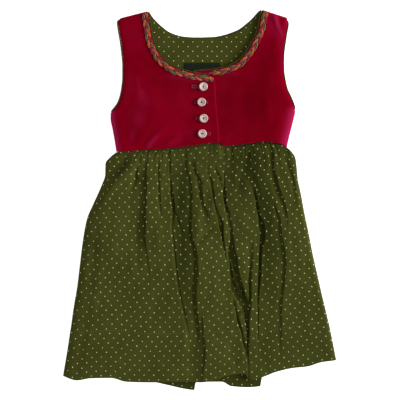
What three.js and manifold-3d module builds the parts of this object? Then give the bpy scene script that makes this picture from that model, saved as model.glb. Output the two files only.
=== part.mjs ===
// A child's dirndl laid flat on its back, sizes in millimetres.
// +X runs to the wearer's left, +Y from the hem to the shoulders, +Z up from the surface it lies on.
// The bodice is velvet with a plaited trim, the skirt and the back lining are pin-dot cotton.
import * as THREE from "three";
import { mergeVertices } from "three/addons/utils/BufferGeometryUtils.js";
import Module from "manifold-3d";

const wasm = await Module();
wasm.setup();

// ---- driving dimensions -------------------------------------------------------------------
const VELVET = 1.4; // wall thicknesses
const COTTON = 1.0;
const HEM_WALL = 1.8; // turned-up hem, two layers and the turn
const HEM_DEPTH_SHARE = 0.79; // share of the skirt's length where the hem's stitching runs
const SEAM_GAP = 0.3;
const WAIST_GAP = 1; // the waist seam's, whose two sides are faceted apart
const REST = 0.05; // edge cords lie this far off the surface, so the back panels carry the part

const LINING_Z = 2.2; // middle of each layer's wall
const LABEL_Z = 3.5;
const UNDERLAP_Z = 5.2; // front panel's button stand, below the overlap
const OVERLAP_Z = 7.1; // front panel's buttonhole edge
const ARMHOLE_Z = 5.0;
const FRONT_SEAM_Z = 3.3; // where the front's rolled edge meets the back's
const BACK_SEAM_Z = 1.9;
const BACK_ROLL = 3; // widths of the rolled edges: the back's, the front's two sides', the armholes'
const RIGHT_ROLL = 12;
const LEFT_ROLL = 20;
const ARMHOLE_ROLL = 6;
const SETTLE = 0.9; // how far the buttonhole panel sinks away from the overlap

const SKIRT_SEAM_Z = 6.4;
const SKIRT_CROWN_Z = 10.5; // height of the folds where they stand highest
const SKIRT_CROWN_SHARE = 0.4; // and that place's share of the skirt's length
const SKIRT_HEM_Z = 7.6;
const SKIRT_FLOOR_Z = 4.7; // bottom of the deepest fold
const SKIRT_ROLL = 14;
const GATHER_HEIGHT = 1.1;
const GATHER_SHARE = 0.16; // share of the skirt's length where the small gathers run out

const CORD_RADIUS = 0.8; // corded edge at the neck and the armholes
const CORD_OFFSET = 1.9; // its centre, out from the middle of the cloth's edge
const BRAID_WIDTH = 8;
const BRAID_WALL = 1.2;
const BRAID_INSET = 1.4; // from the neck edge to the braid

const BUTTON_RADIUS = 6.5;
const HOLE_RADIUS = 0.85;
const HOLE_SPACING = 2.8;
const THREAD_RADIUS = 0.5;
const SHANK_RADIUS = 1.05;
const SLOT_LENGTH = 18;
const SLOT_WIDTH = 2.8;
const WORKED_EDGE = 1.3; // width and height of the buttonhole's stitched edge
const WORKED_HEIGHT = 0.6;

// ---- tables -------------------------------------------------------------------------------
// A panel's sections, from the waist seam up to the shoulder seam. outer is the side seam and the
// armhole, inner the front edge or centre back and then the neckline.
const FRONT_RIGHT = sections([
  // outerX, outerY, innerX, innerY
  [-120.5, 70.5, 28.5, 84],
  [-123, 85.5, 27.5, 101.5],
  [-126, 102, 26, 119],
  [-129, 117.5, 24, 136],
  [-129, 125, 23, 156.5],
  [-123, 132.5, 21.5, 176.5],
  [-117.5, 140.5, -1, 182],
  [-114, 150, -22.5, 187.5],
  [-111.5, 162.5, -36.5, 192],
  [-110, 178.5, -48, 199.5],
  [-110, 195.5, -57, 209.5],
  [-111.5, 213, -63.5, 221],
  [-113.5, 229, -68.5, 234],
  [-116, 243.5, -71.5, 249.5],
  [-118, 258, -74, 269.5],
  [-114.5, 263.5, -75.5, 273.5],
]);
const FRONT_LEFT = sections([
  [126.5, 77.5, -5, 78],
  [130, 92.5, -6, 92.5],
  [133.5, 106, -7, 110],
  [136.5, 118, -8.5, 130.5],
  [138.5, 128.5, -10, 153.5],
  [135.5, 138.5, -12, 186.5],
  [131, 149.5, 10.5, 188],
  [126, 160, 29, 190.5],
  [123, 172.5, 44, 195],
  [121, 185.5, 57, 202],
  [120.5, 198.5, 67.5, 214],
  [121, 213, 75.5, 227],
  [123, 227, 82, 240],
  [125.5, 241.5, 86.5, 253.5],
  [128.5, 256.5, 89.5, 269],
  [125.5, 264.5, 91.5, 275.5],
]);
const BACK_RIGHT = sections([
  [-120.5, 70.5, 5, 78],
  [-123, 85.5, 5, 97],
  [-126, 102, 5.5, 119],
  [-129, 117.5, 5.5, 145],
  [-129, 125, 6, 174],
  [-123, 132.5, 6, 203],
  [-117, 140.5, 6, 234.5],
  [-113.5, 150, -8, 234.5],
  [-111, 162.5, -22.5, 235.5],
  [-109.5, 178.5, -34, 238],
  [-109.5, 195.5, -46, 243],
  [-111, 213, -55.5, 250],
  [-113, 229, -64, 258],
  [-115.5, 243.5, -70, 264.5],
  [-117.5, 257, -73.5, 270],
  [-114, 263, -76, 273],
]);
const BACK_LEFT = sections([
  [126.5, 77.5, 5, 78],
  [130, 92.5, 5, 97],
  [133.5, 106, 5.5, 119],
  [136.5, 118, 5.5, 145],
  [138.5, 128.5, 6, 174],
  [135, 138.5, 6, 203],
  [130, 149.5, 6, 234.5],
  [125.5, 160, 19.5, 235],
  [122, 172.5, 34, 237.5],
  [120.5, 185.5, 47, 241.5],
  [120, 198.5, 58.5, 246.5],
  [120.5, 213, 68.5, 254],
  [122.5, 227, 76.5, 261],
  [124.5, 241.5, 82.5, 267.5],
  [128, 256.5, 87.5, 273],
  [125, 264, 91, 275.5],
]);
const UNDERARM = 4; // section where the side seam meets the armhole
const NECK = 5; // section where the neckline starts on the fronts
const BACK_NECK = 6; // and on the back
const SHOULDER = 15;

// The waist seam and the hems, from side seam to side seam.
const WAIST = points("x y", [
  [-120.5, 70], [-101, 71], [-80.5, 72.5], [-48.5, 74.5], [-21, 77.5], [-1, 80.5], [24, 83],
  [36, 82], [50, 81.7], [70, 82.5], [97.5, 84], [116, 81.5], [126.5, 77],
]);
const FRONT_HEM = points("x y", [
  [-198, -255.5], [-178, -261.5], [-158, -258.5], [-128.5, -258], [-105.5, -263.5], [-72, -264.5],
  [-22, -263.5], [0.5, -264.5], [25, -260], [37.5, -255], [64.5, -252], [71.5, -261], [92, -256.5],
  [110, -249.5], [136.5, -243.5], [155.5, -241.5], [178, -235], [198, -232.5],
]);
const BACK_HEM = points("x y", [
  [-196.5, -254], [-144.5, -256.5], [-105.5, -261], [-72, -264], [-43, -270], [-25.5, -274],
  [-7.5, -276.5], [-5.5, -265], [32.5, -264.5], [46.5, -271], [69.5, -272.5], [88.5, -271],
  [91.5, -254], [135.5, -241.5], [174.5, -233.5], [197, -231.5],
]);

// Where each front swells over the fold of the back.
const CHEST = [
  { x: -72, y: 125, height: 2.4, across: 42, along: 55 },
  { x: 84, y: 125, height: 2.6, across: 42, along: 55 },
];

// Skirt's side seams, by share of the skirt's length.
const SKIRT_SIDES = points("share right left", [
  [0, -120.5, 126.5],
  [0.02, -129, 133.5],
  [0.05, -136.5, 139],
  [0.1, -137, 141],
  [0.15, -142.5, 142.5],
  [0.22, -152.5, 147],
  [0.3, -163.5, 151.5],
  [0.4, -169.5, 158],
  [0.5, -173.5, 164],
  [0.6, -177.5, 171],
  [0.7, -183, 178],
  [0.8, -187.5, 185.5],
  [0.9, -192.5, 192],
  [1, -198, 198],
]);

// Largest folds: x of the fold's line at the waist, each quarter and the hem, its depth there, and
// its half width at the waist and the hem.
const FRONT_FOLDS = folds([
  //  x at 0, 1/4, 1/2, 3/4, 1            depth at the same five     half widths
  { x: [-77.5, -80.5, -83.5, -89.5, -98], depth: [1, 4, 4, 1.6, 0.4], half: [4, 11] },
  { x: [-43, -41, -36.5, -25.5, -19.5], depth: [1, 2.6, 2.4, 1.6, 0.3], half: [3, 6] },
  { x: [-18.5, -15.5, -5, -6.5, -4], depth: [1, 2.6, 4, 3.4, 1.6], half: [3.5, 9] },
  { x: [-5, 8, 9.5, 12, 14], depth: [1, 4.2, 0.6, 0.2, 0], half: [4, 7] },
  { x: [32.5, 38.5, 48.5, 67, 71.5], depth: [1.4, 4.4, 5.6, 5.4, 2.4], half: [4, 6] },
  { x: [70, 84.5, 89, 86, 84.5], depth: [1, 5, 4.8, 2.4, 0.8], half: [4, 6] },
  { x: [100, 118, 123, 117.5, 116.5], depth: [1, 4, 3.4, 2.6, 0.6], half: [4, 9] },
]);
const BACK_FOLDS = folds([
  { x: [-88, -108, -120, -128, -134], depth: [0.8, 2.2, 2.4, 1.4, 0.4], half: [4, 10] },
  { x: [-52, -58, -66, -70, -74], depth: [0.8, 2.4, 1.6, 0.6, 0.2], half: [4, 9] },
  { x: [-20, -18, -12, -9, -6.5], depth: [0.8, 2, 2.4, 1.8, 0.6], half: [4, 1] },
  { x: [18, 22, 26, 30, 32], depth: [0.8, 2.4, 1.2, 0.3, 0], half: [4, 8] },
  { x: [52, 62, 74, 84, 90], depth: [0.8, 2, 2.4, 2, 0.8], half: [4, 1.5] },
  { x: [88, 104, 114, 126, 132], depth: [0.8, 2.4, 2, 0.8, 0.3], half: [4, 10] },
]);

// Buttons, each with its buttonhole's middle and the turn of its two thread holes.
const BUTTONS = [
  { x: 5.5, y: 164, holeX: -2, turn: 90 },
  { x: 3, y: 141.5, holeX: 2, turn: 100 },
  { x: 6, y: 118, holeX: 4, turn: 85 },
  { x: 4, y: 96, holeX: 6.5, turn: 24 },
];
const LABEL = { x0: -22.5, x1: 30, y0: 178, y1: 199 };

// ---- small helpers ------------------------------------------------------------------------
function sections(rows) {
  return rows.map(([outerX, outerY, innerX, innerY]) => ({ outerX, outerY, innerX, innerY }));
}

function points(names, rows) {
  const keys = names.split(" ");
  return rows.map((row) => Object.fromEntries(row.map((value, i) => [keys[i], value])));
}

function folds(rows) {
  return rows.map(({ x, depth, half }) => ({
    at: (t) => fromQuarters(x, t),
    depth: (t) => fromQuarters(depth, t),
    half: (t) => half[0] + (half[1] - half[0]) * t,
  }));
}

const mix = (a, b, t) => a + (b - a) * t;
const clamp = (v) => Math.min(1, Math.max(0, v));
const smooth = (v) => clamp(v) ** 2 * (3 - 2 * clamp(v));
const bump = (q) => Math.exp(-q * q);
// A quarter of an ellipse, from 0 at a rolled edge to 1 inside it.
const roll = (q) => Math.sqrt(1 - (1 - clamp(q)) ** 2);

// The value of a table's column at a place along another, straight between its rows.
function lookUp(table, key, column, at) {
  const last = table.length - 1;
  if (at <= table[0][key]) return table[0][column];
  for (let i = 0; i < last; i++) {
    const [a, b] = [table[i], table[i + 1]];
    if (at <= b[key]) return mix(a[column], b[column], (at - a[key]) / (b[key] - a[key]));
  }
  return table[last][column];
}

const waistAt = (x) => lookUp(WAIST, "x", "y", x);

// The value at t of a smooth curve through five values at the quarters.
function fromQuarters(values, t) {
  const curve = new THREE.SplineCurve(values.map((v, i) => new THREE.Vector2(i / 4, v)));
  return curve.getPoint(clamp(t)).y;
}

// A section of a panel at a place between two rows of its table.
function sectionAt(table, at) {
  const i = Math.min(Math.floor(at), table.length - 2);
  const [a, b] = [table[i], table[i + 1]];
  const row = {};
  for (const key of Object.keys(a)) row[key] = mix(a[key], b[key], at - i);
  return row;
}

// ---- surfaces and walls -------------------------------------------------------------------
// An open grid of points, rows by columns, as {points, triangles}.
function grid(rows) {
  const width = rows[0].length;
  const triangles = [];
  for (let r = 0; r + 1 < rows.length; r++) {
    for (let c = 0; c + 1 < width; c++) {
      const k = r * width + c;
      triangles.push([k, k + 1, k + width + 1], [k, k + width + 1, k + width]);
    }
  }
  return { points: rows.flat(), triangles };
}

// Two open surfaces as one, with the points that they share merged.
function sewn(a, b) {
  const together = [...a.points];
  const place = b.points.map((p) => {
    const found = a.points.findIndex((q) => q.distanceTo(p) < 1e-3);
    return found >= 0 ? found : together.push(p) - 1;
  });
  const moved = b.triangles.map((t) => t.map((i) => place[i]));
  return { points: together, triangles: [...a.triangles, ...moved] };
}

// Turns every triangle so that the surface faces up.
function facingUp({ points: list, triangles }) {
  const turned = triangles.map(([a, b, c]) => {
    const [p, q, r] = [list[a], list[b], list[c]];
    const up = (q.x - p.x) * (r.y - p.y) - (q.y - p.y) * (r.x - p.x);
    return up < 0 ? [a, c, b] : [a, b, c];
  });
  return { points: list, triangles: turned };
}

function geometryOf(list, triangles) {
  const geometry = new THREE.BufferGeometry().setFromPoints(list);
  geometry.setIndex(triangles.flat());
  geometry.computeVertexNormals();
  return geometry;
}

// A closed wall round an open surface, half its thickness to each side; thickness may vary by point.
function wall(surface, thickness) {
  const { points: list, triangles } = facingUp(surface);
  const normals = geometryOf(list, triangles).getAttribute("normal");
  const n = list.length;
  const side = (sign) =>
    list.map((p, i) => {
      const half = (typeof thickness === "function" ? thickness(p) : thickness) / 2;
      return p.clone().addScaledVector(new THREE.Vector3().fromBufferAttribute(normals, i), sign * half);
    });
  const edges = new Map();
  for (const t of triangles) {
    for (let k = 0; k < 3; k++) edges.set(`${t[k]} ${t[(k + 1) % 3]}`, [t[k], t[(k + 1) % 3]]);
  }
  const rim = [];
  for (const [a, b] of edges.values()) {
    if (!edges.has(`${b} ${a}`)) rim.push([b, a, a + n], [b, a + n, b + n]);
  }
  const under = triangles.map(([a, b, c]) => [a + n, c + n, b + n]);
  return geometryOf([...side(1), ...side(-1)], [...triangles, ...under, ...rim]);
}

// The surface's height over a place, or that of its nearest point.
function heightOn({ points: list, triangles }, x, y) {
  for (const [a, b, c] of triangles) {
    const [p, q, r] = [list[a], list[b], list[c]];
    const whole = (q.x - p.x) * (r.y - p.y) - (q.y - p.y) * (r.x - p.x);
    const u = ((x - p.x) * (r.y - p.y) - (y - p.y) * (r.x - p.x)) / whole;
    const v = ((q.x - p.x) * (y - p.y) - (q.y - p.y) * (x - p.x)) / whole;
    if (u >= 0 && v >= 0 && u + v <= 1) return p.z + u * (q.z - p.z) + v * (r.z - p.z);
  }
  const far = (p) => Math.hypot(p.x - x, p.y - y);
  return list.reduce((best, p) => (far(p) < far(best) ? p : best)).z;
}

function solidOf(geometry) {
  const bare = new THREE.BufferGeometry().setAttribute("position", geometry.getAttribute("position"));
  if (geometry.index) bare.setIndex(geometry.index);
  const merged = mergeVertices(bare, 1e-3);
  return new wasm.Manifold(
    new wasm.Mesh({
      numProp: 3,
      vertProperties: merged.getAttribute("position").array,
      triVerts: new Uint32Array(merged.index.array),
    }),
  );
}

function geometryFrom(solid) {
  const made = solid.getMesh();
  const geometry = new THREE.BufferGeometry();
  geometry.setAttribute("position", new THREE.BufferAttribute(made.vertProperties, 3));
  geometry.setIndex(new THREE.BufferAttribute(made.triVerts, 1));
  geometry.computeVertexNormals();
  return geometry;
}

// ---- bodice -------------------------------------------------------------------------------
// The sections that become rows: the table's own, and two more on the shoulder's roll.
const PANEL_ROWS = [...Array(SHOULDER).keys(), 14.5, 14.85, SHOULDER];

// Distances from the outer edge: a few round the rolled edge, then evenly to the inner edge.
function columnsFrom(rollWidth, length, count) {
  const edge = [0, 0.134, 0.5, 1].map((share) => share * rollWidth);
  const rest = Array.from({ length: count }, (_, i) => mix(rollWidth, length, (i + 1) / count));
  return [...edge, ...rest];
}

// A panel ruled between its outer and inner edges. height gives z from the place, its distance from
// the outer edge and its section; the first section bends to the waist seam.
function panelSurface(table, { rollWidth, count, height, inset = 0, rows = PANEL_ROWS }) {
  return grid(
    rows.map((at) => {
      const s = sectionAt(table, at);
      const length = Math.hypot(s.innerX - s.outerX, s.innerY - s.outerY);
      return columnsFrom(rollWidth(at), length - inset, count).map((d) => {
        const share = (d + inset) / length;
        const x = mix(s.outerX, s.innerX, share);
        const straight = mix(s.outerY, s.innerY, share);
        const first = mix(table[0].outerY, table[0].innerY, share);
        const bend = (waistAt(x) - first) * (1 - clamp(at / 3)) ** 2;
        return new THREE.Vector3(x, straight + bend, height(x, straight, d + inset, at));
      });
    }),
  );
}

// How far a section is up the armhole from the underarm.
const armhole = (at) => clamp((at - UNDERARM + 0.4) / 1.2);
// The front edge of the overlapping panel.
const overlapEdge = (y) => lookUp(FRONT_RIGHT.slice(0, NECK + 1), "innerY", "innerX", y);

function frontHeight(flat, rollAt) {
  return (x, y, d, at) => {
    const crown = CHEST.reduce((sum, c) => {
      return sum + c.height * bump((x - c.x) / c.across) * bump((y - c.y) / c.along);
    }, 0);
    const edge = mix(FRONT_SEAM_Z, ARMHOLE_Z, armhole(at));
    const inside = edge + (flat(x, y) + crown - edge) * roll(d / rollAt(at));
    return FRONT_SEAM_Z + (inside - FRONT_SEAM_Z) * roll(SHOULDER - at);
  };
}

const overlapHeight = (x) => OVERLAP_Z - SETTLE * smooth((-25 - x) / 40);
const underlapHeight = (x, y) => mix(UNDERLAP_Z, OVERLAP_Z, smooth((x - overlapEdge(y) - 4) / 14));

const rightRoll = (at) => mix(RIGHT_ROLL, ARMHOLE_ROLL, armhole(at));
const leftRoll = (at) => mix(LEFT_ROLL, ARMHOLE_ROLL, armhole(at));

function frontPanel(table, rollAt, flat) {
  return panelSurface(table, { rollWidth: rollAt, count: 7, height: frontHeight(flat, rollAt) });
}

// The back lies flat and rolls up to the side and shoulder seams.
function backPanel(table) {
  const height = (x, y, d, at) => {
    const side = (1 - armhole(at)) * (1 - roll(d / BACK_ROLL));
    const shoulder = 1 - roll((SHOULDER - at) * 2);
    return VELVET / 2 + (BACK_SEAM_Z - VELVET / 2) * Math.max(side, shoulder);
  };
  return panelSurface(table, { rollWidth: () => BACK_ROLL, count: 7, height });
}

function liningHalf(table) {
  return panelSurface(table, {
    rollWidth: () => 4,
    count: 4,
    height: () => LINING_Z,
    inset: BACK_ROLL + 2,
    rows: PANEL_ROWS.filter((at) => at < SHOULDER - 0.5),
  });
}

// ---- skirt --------------------------------------------------------------------------------
const SKIRT_ROWS = [0, 0.02, 0.05, 0.1, 0.16, 0.25, 0.35, 0.46, 0.58, 0.7, HEM_DEPTH_SHARE, 0.9, 1];
const EDGE_COLUMNS = [0, 0.134, 0.5, 1];
const WIDEST_COLUMN = 24;

// The lines that run down the skirt, as functions of the share of its length: both rolled edges,
// the folds' floors and shoulders, and lines between them where they lie far apart.
function skirtLines(foldTable, rollWidth) {
  const side = (key, sign) =>
    EDGE_COLUMNS.map((share) => (t) => lookUp(SKIRT_SIDES, "share", key, t) + sign * share * rollWidth);
  const marks = [
    side("right", 1).at(-1),
    ...foldTable.flatMap((f) => [-1, 0, 1].map((k) => (t) => f.at(t) + k * f.half(t))),
    side("left", -1).at(-1),
  ];
  const lines = [...side("right", 1).slice(0, -1)];
  marks.forEach((mark, i) => {
    lines.push(mark);
    const next = marks[i + 1];
    if (!next) return;
    const gap = Math.max(...SKIRT_ROWS.map((t) => next(t) - mark(t)));
    const parts = Math.ceil(gap / WIDEST_COLUMN);
    for (let k = 1; k < parts; k++) lines.push((t) => mix(mark(t), next(t), k / parts));
  });
  return [...lines, ...side("left", -1).slice(0, -1).reverse()];
}

const foldDepth = (foldTable, x, t) =>
  foldTable.reduce((sum, f) => sum + f.depth(t) * bump((1.5 * (x - f.at(t))) / f.half(t)), 0);


function skirtSurface(foldTable, hem, rollWidth, height) {
  const lines = skirtLines(foldTable, rollWidth);
  return grid(
    SKIRT_ROWS.map((t) =>
      lines.map((line, i) => {
        const x = line(t);
        const y = mix(waistAt(line(0)) - WAIST_GAP, lookUp(hem, "x", "y", line(1)), t);
        const edge = Math.min(x - lines[0](t), lines.at(-1)(t) - x);
        return new THREE.Vector3(x, y, height(x, t, edge, i));
      }),
    ),
  );
}

function skirtFront() {
  const rise = (t) => smooth(t / SKIRT_CROWN_SHARE);
  const fall = (t) => smooth((t - SKIRT_CROWN_SHARE) / (1 - SKIRT_CROWN_SHARE));
  const crown = (t) => mix(mix(SKIRT_SEAM_Z, SKIRT_CROWN_Z, rise(t)), SKIRT_HEM_Z, fall(t));
  return skirtSurface(FRONT_FOLDS, FRONT_HEM, SKIRT_ROLL, (x, t, edge, i) => {
    const gather = GATHER_HEIGHT * (i % 2 ? 1 : -1) * clamp(1 - t / GATHER_SHARE) * 0.5;
    const cloth = Math.max(SKIRT_FLOOR_Z, crown(t) - foldDepth(FRONT_FOLDS, x, t) + gather);
    return FRONT_SEAM_Z + (cloth - FRONT_SEAM_Z) * roll(edge / SKIRT_ROLL);
  });
}

function skirtBack() {
  return skirtSurface(BACK_FOLDS, BACK_HEM, BACK_ROLL, (x, t, edge) => {
    const side = (BACK_SEAM_Z - COTTON / 2) * (1 - roll(edge / BACK_ROLL));
    return COTTON / 2 + Math.max(side, foldDepth(BACK_FOLDS, x, t) * clamp(edge / 12));
  });
}

// The hem's stitching line, below which the skirt is doubled.
const skirtWall = (hem) => (p) => {
  const top = waistAt(p.x * 0.66);
  const share = (top - p.y) / (top - lookUp(hem, "x", "y", p.x));
  return share > HEM_DEPTH_SHARE - 0.01 ? HEM_WALL : COTTON;
};

// ---- edges and trim -----------------------------------------------------------------------
// One edge of a panel as places in plan, with the direction that points off the cloth.
function edgePath(table, side, from, to) {
  const list = table.slice(from, to + 1).map((s) => new THREE.Vector2(s[`${side}X`], s[`${side}Y`]));
  const curve = new THREE.SplineCurve(list);
  const off = side === "inner" ? 1 : -1;
  const facing = Math.sign(table[0].innerX - table[0].outerX) * off;
  return (share) => {
    const place = curve.getPointAt(share);
    const along = curve.getTangentAt(share);
    return { place, out: new THREE.Vector2(along.y, -along.x).multiplyScalar(facing) };
  };
}

// A round cord beside a panel's edge.
function edgeCord(path, heightAt, { from, to, count = 16 }) {
  const along = Array.from({ length: count + 1 }, (_, i) => {
    const { place, out } = path(mix(from, to, i / count));
    const centre = place.clone().addScaledVector(out, CORD_OFFSET);
    return new THREE.Vector3(centre.x, centre.y, heightAt(place.x, place.y));
  });
  const section = new THREE.Shape().absarc(0, 0, CORD_RADIUS, 0, 2 * Math.PI);
  return new THREE.ExtrudeGeometry(section, {
    steps: count * 2,
    curveSegments: 3,
    bevelEnabled: false,
    extrudePath: new THREE.CatmullRomCurve3(along),
  });
}

// The plaited trim's reach: a low crowned strip made from the panel's points, moved out.
function braidStrip(path, panel, { from, to, widthAt = () => BRAID_WIDTH }) {
  const count = 24;
  const rows = Array.from({ length: count + 1 }, (_, i) => {
    const { place, out } = path(mix(from, to, i / count));
    const width = widthAt(place.x);
    return [0, 0.5, 1].map((share) => {
      const p = place.clone().addScaledVector(out, -(BRAID_INSET + share * width));
      const lift = VELVET / 2 + SEAM_GAP + BRAID_WALL / 2 + (share === 0.5 ? 0.6 : 0.25);
      return new THREE.Vector3(p.x, p.y, heightOn(panel, p.x, p.y) + lift);
    });
  });
  return wall(grid(rows), BRAID_WALL);
}

// ---- closure ------------------------------------------------------------------------------
function stadium(length, width, round = 6) {
  const half = length / 2 - width / 2;
  return new THREE.Shape()
    .absarc(half, 0, width / 2, -Math.PI / 2, Math.PI / 2)
    .absarc(-half, 0, width / 2, Math.PI / 2, (3 * Math.PI) / 2)
    .getPoints(round)
    .slice(0, -1);
}

function slotPrism({ holeX, y }) {
  const shape = new THREE.Shape(stadium(SLOT_LENGTH, SLOT_WIDTH));
  const geometry = new THREE.ExtrudeGeometry(shape, { depth: 20, bevelEnabled: false });
  return solidOf(geometry.translate(holeX, y, 0));
}

function buttonhole({ holeX, y }, z) {
  const shape = new THREE.Shape(stadium(SLOT_LENGTH + 2 * WORKED_EDGE, SLOT_WIDTH + 2 * WORKED_EDGE));
  shape.holes.push(new THREE.Path(stadium(SLOT_LENGTH, SLOT_WIDTH)));
  const geometry = new THREE.ExtrudeGeometry(shape, { depth: WORKED_HEIGHT, bevelEnabled: false });
  return geometry.translate(holeX, y, z + SEAM_GAP);
}

// A place for each of the button's two thread holes.
function holePlaces({ turn }) {
  const a = THREE.MathUtils.degToRad(turn);
  const half = new THREE.Vector2(Math.cos(a), Math.sin(a)).multiplyScalar(HOLE_SPACING / 2);
  return [half.clone().negate(), half];
}

function post(radius, low, high, x = 0, y = 0) {
  const geometry = new THREE.CylinderGeometry(radius, radius, high - low, 10);
  return geometry.rotateX(Math.PI / 2).translate(x, y, (low + high) / 2);
}

const DISH = 1.5; // height of the button's dished middle over its underside
const KNOT = 0.5; // depth of thread below the button, where its strands meet the shank

function button(spec, z) {
  const R = BUTTON_RADIUS;
  const profile = [
    [0, 0], [R - 1, 0], [R - 0.2, 0.5], [R, 1.2], [R - 0.3, 2.1],
    [R - 1, 2.4], [R - 1.7, 2.2], [R - 2.5, DISH + 0.1], [0, DISH],
  ].map(([r, h]) => new THREE.Vector2(r, h));
  const disc = solidOf(new THREE.LatheGeometry(profile, 28).rotateX(Math.PI / 2));
  const drill = (solid, h) => solid.subtract(solidOf(post(HOLE_RADIUS, -1, 2 * DISH, h.x, h.y)));
  const drilled = holePlaces(spec).reduce(drill, disc);
  return geometryFrom(drilled).translate(spec.x, spec.y, z);
}

// The sewing thread: a stitch across the dish, two strands down the holes and a wound shank.
function buttonThread(spec, z, panelTop) {
  const high = DISH + SEAM_GAP + 2 * THREAD_RADIUS;
  const knot = solidOf(post(HOLE_SPACING / 2 + THREAD_RADIUS + 0.1, -SEAM_GAP - KNOT, -SEAM_GAP));
  let solid = knot.add(solidOf(post(SHANK_RADIUS, panelTop - z + SEAM_GAP, -SEAM_GAP - KNOT / 2)));
  for (const h of holePlaces(spec)) {
    solid = solid.add(solidOf(post(THREAD_RADIUS, -SEAM_GAP - KNOT / 2, high, h.x, h.y)));
  }
  const bar = new THREE.BoxGeometry(HOLE_SPACING, THREAD_RADIUS * 1.6, THREAD_RADIUS * 1.6);
  bar.rotateZ(THREE.MathUtils.degToRad(spec.turn)).translate(0, 0, high - THREAD_RADIUS);
  return geometryFrom(solid.add(solidOf(bar))).translate(spec.x, spec.y, z);
}

// ---- assembly -----------------------------------------------------------------------------
function material(name, color, roughness) {
  return new THREE.MeshStandardMaterial({ name, color, roughness, metalness: 0 });
}

const FINISH = {
  velvet: material("velvet", 0x8c0320, 0.85),
  cotton: material("cotton", 0x3a4112, 0.9),
  cord: material("cord", 0x3c4a18, 0.8),
  braid: material("braid", 0xb8502a, 0.7),
  label: material("label", 0x0b2a20, 0.7),
  button: material("button", 0xe6dcd6, 0.3),
  thread: material("thread", 0x5e0a1c, 0.8),
};

const garment = new THREE.Group();
function add(name, finish, geometry) {
  const mesh = new THREE.Mesh(geometry, FINISH[finish]);
  mesh.name = name;
  garment.add(mesh);
  return mesh;
}

function addBodice() {
  const right = frontPanel(FRONT_RIGHT, rightRoll, overlapHeight);
  const left = frontPanel(FRONT_LEFT, leftRoll, underlapHeight);
  const slotted = BUTTONS.reduce((solid, b) => solid.subtract(slotPrism(b)), solidOf(wall(right, VELVET)));
  add("bodice_front_right", "velvet", geometryFrom(slotted));
  add("bodice_front_left", "velvet", wall(left, VELVET));
  add("bodice_back", "velvet", wall(sewn(backPanel(BACK_RIGHT), backPanel(BACK_LEFT)), VELVET));
  add("lining_back", "cotton", wall(sewn(liningHalf(BACK_RIGHT), liningHalf(BACK_LEFT)), COTTON));
  const { x0, x1, y0, y1 } = LABEL;
  const label = new THREE.BoxGeometry(x1 - x0, y1 - y0, 0.8);
  add("label", "label", label.translate((x0 + x1) / 2, (y0 + y1) / 2, LABEL_Z));
  return { right, left };
}

function addSkirt() {
  add("skirt_front", "cotton", wall(skirtFront(), skirtWall(FRONT_HEM)));
  add("skirt_back", "cotton", wall(skirtBack(), COTTON));
}

function addEdges({ right, left }) {
  const onRight = (x, y) => heightOn(right, x, y);
  const onLeft = (x, y) => heightOn(left, x, y);
  const onBack = () => CORD_RADIUS + REST;
  const neckRight = edgePath(FRONT_RIGHT, "inner", NECK, SHOULDER);
  const neckLeft = edgePath(FRONT_LEFT, "inner", NECK, SHOULDER);
  const backNeck = [...BACK_RIGHT.slice(BACK_NECK).reverse(), ...BACK_LEFT.slice(BACK_NECK + 1)];
  const arm = (panel) => edgePath(panel, "outer", UNDERARM, SHOULDER - 1);
  const neckEnds = { from: 0.03, to: 0.97 };
  const armEnds = { from: 0.06, to: 0.97 };

  add("neck_cord_front_right", "cord", edgeCord(neckRight, onRight, neckEnds));
  add("neck_cord_front_left", "cord", edgeCord(neckLeft, onLeft, neckEnds));
  add("neck_cord_back", "cord", edgeCord(backNeckPath(backNeck), onBack, { ...neckEnds, count: 20 }));
  add("armhole_cord_front_right", "cord", edgeCord(arm(FRONT_RIGHT), onRight, armEnds));
  add("armhole_cord_front_left", "cord", edgeCord(arm(FRONT_LEFT), onLeft, armEnds));
  add("armhole_cord_back_right", "cord", edgeCord(arm(BACK_RIGHT), onBack, armEnds));
  add("armhole_cord_back_left", "cord", edgeCord(arm(BACK_LEFT), onBack, armEnds));

  add("neck_braid_right", "braid", braidStrip(neckRight, right, { from: 0.02, to: 0.985 }));
  // The other braid runs in behind the overlap, so it narrows to what shows there.
  const behind = (x) => mix(1.6, BRAID_WIDTH, clamp((x - 3) / 19));
  add("neck_braid_left", "braid", braidStrip(neckLeft, left, { from: 0.1, to: 0.985, widthAt: behind }));
}

// The back neckline from shoulder to shoulder, with the direction that points off the cloth.
function backNeckPath(rows) {
  const curve = new THREE.SplineCurve(rows.map((s) => new THREE.Vector2(s.innerX, s.innerY)));
  return (share) => {
    const along = curve.getTangentAt(share);
    return { place: curve.getPointAt(share), out: new THREE.Vector2(-along.y, along.x) };
  };
}

function addClosure({ right, left }) {
  BUTTONS.forEach((spec, i) => {
    const reach = [-9, -4.5, 0, 4.5, 9];
    const under = Math.max(...reach.map((d) => heightOn(right, spec.holeX + d, spec.y))) + VELVET / 2 + 0.1;
    const z = under + SEAM_GAP + WORKED_HEIGHT + SEAM_GAP + KNOT + SEAM_GAP;
    const base = heightOn(left, spec.x, spec.y) + VELVET / 2;
    add(`buttonhole_${i + 1}`, "thread", buttonhole(spec, under));
    add(`button_${i + 1}`, "button", button(spec, z));
    add(`button_thread_${i + 1}`, "thread", buttonThread(spec, z, base));
  });
}

const fronts = addBodice();
addSkirt();
addEdges(fronts);
addClosure(fronts);

// The frame's origin is the middle of the garment's footprint, on the surface it lies on.
const box = new THREE.Box3().setFromObject(garment);
garment.position.set(-(box.min.x + box.max.x) / 2, -(box.min.y + box.max.y) / 2, -box.min.z);

export default garment;
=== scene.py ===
import math

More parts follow.
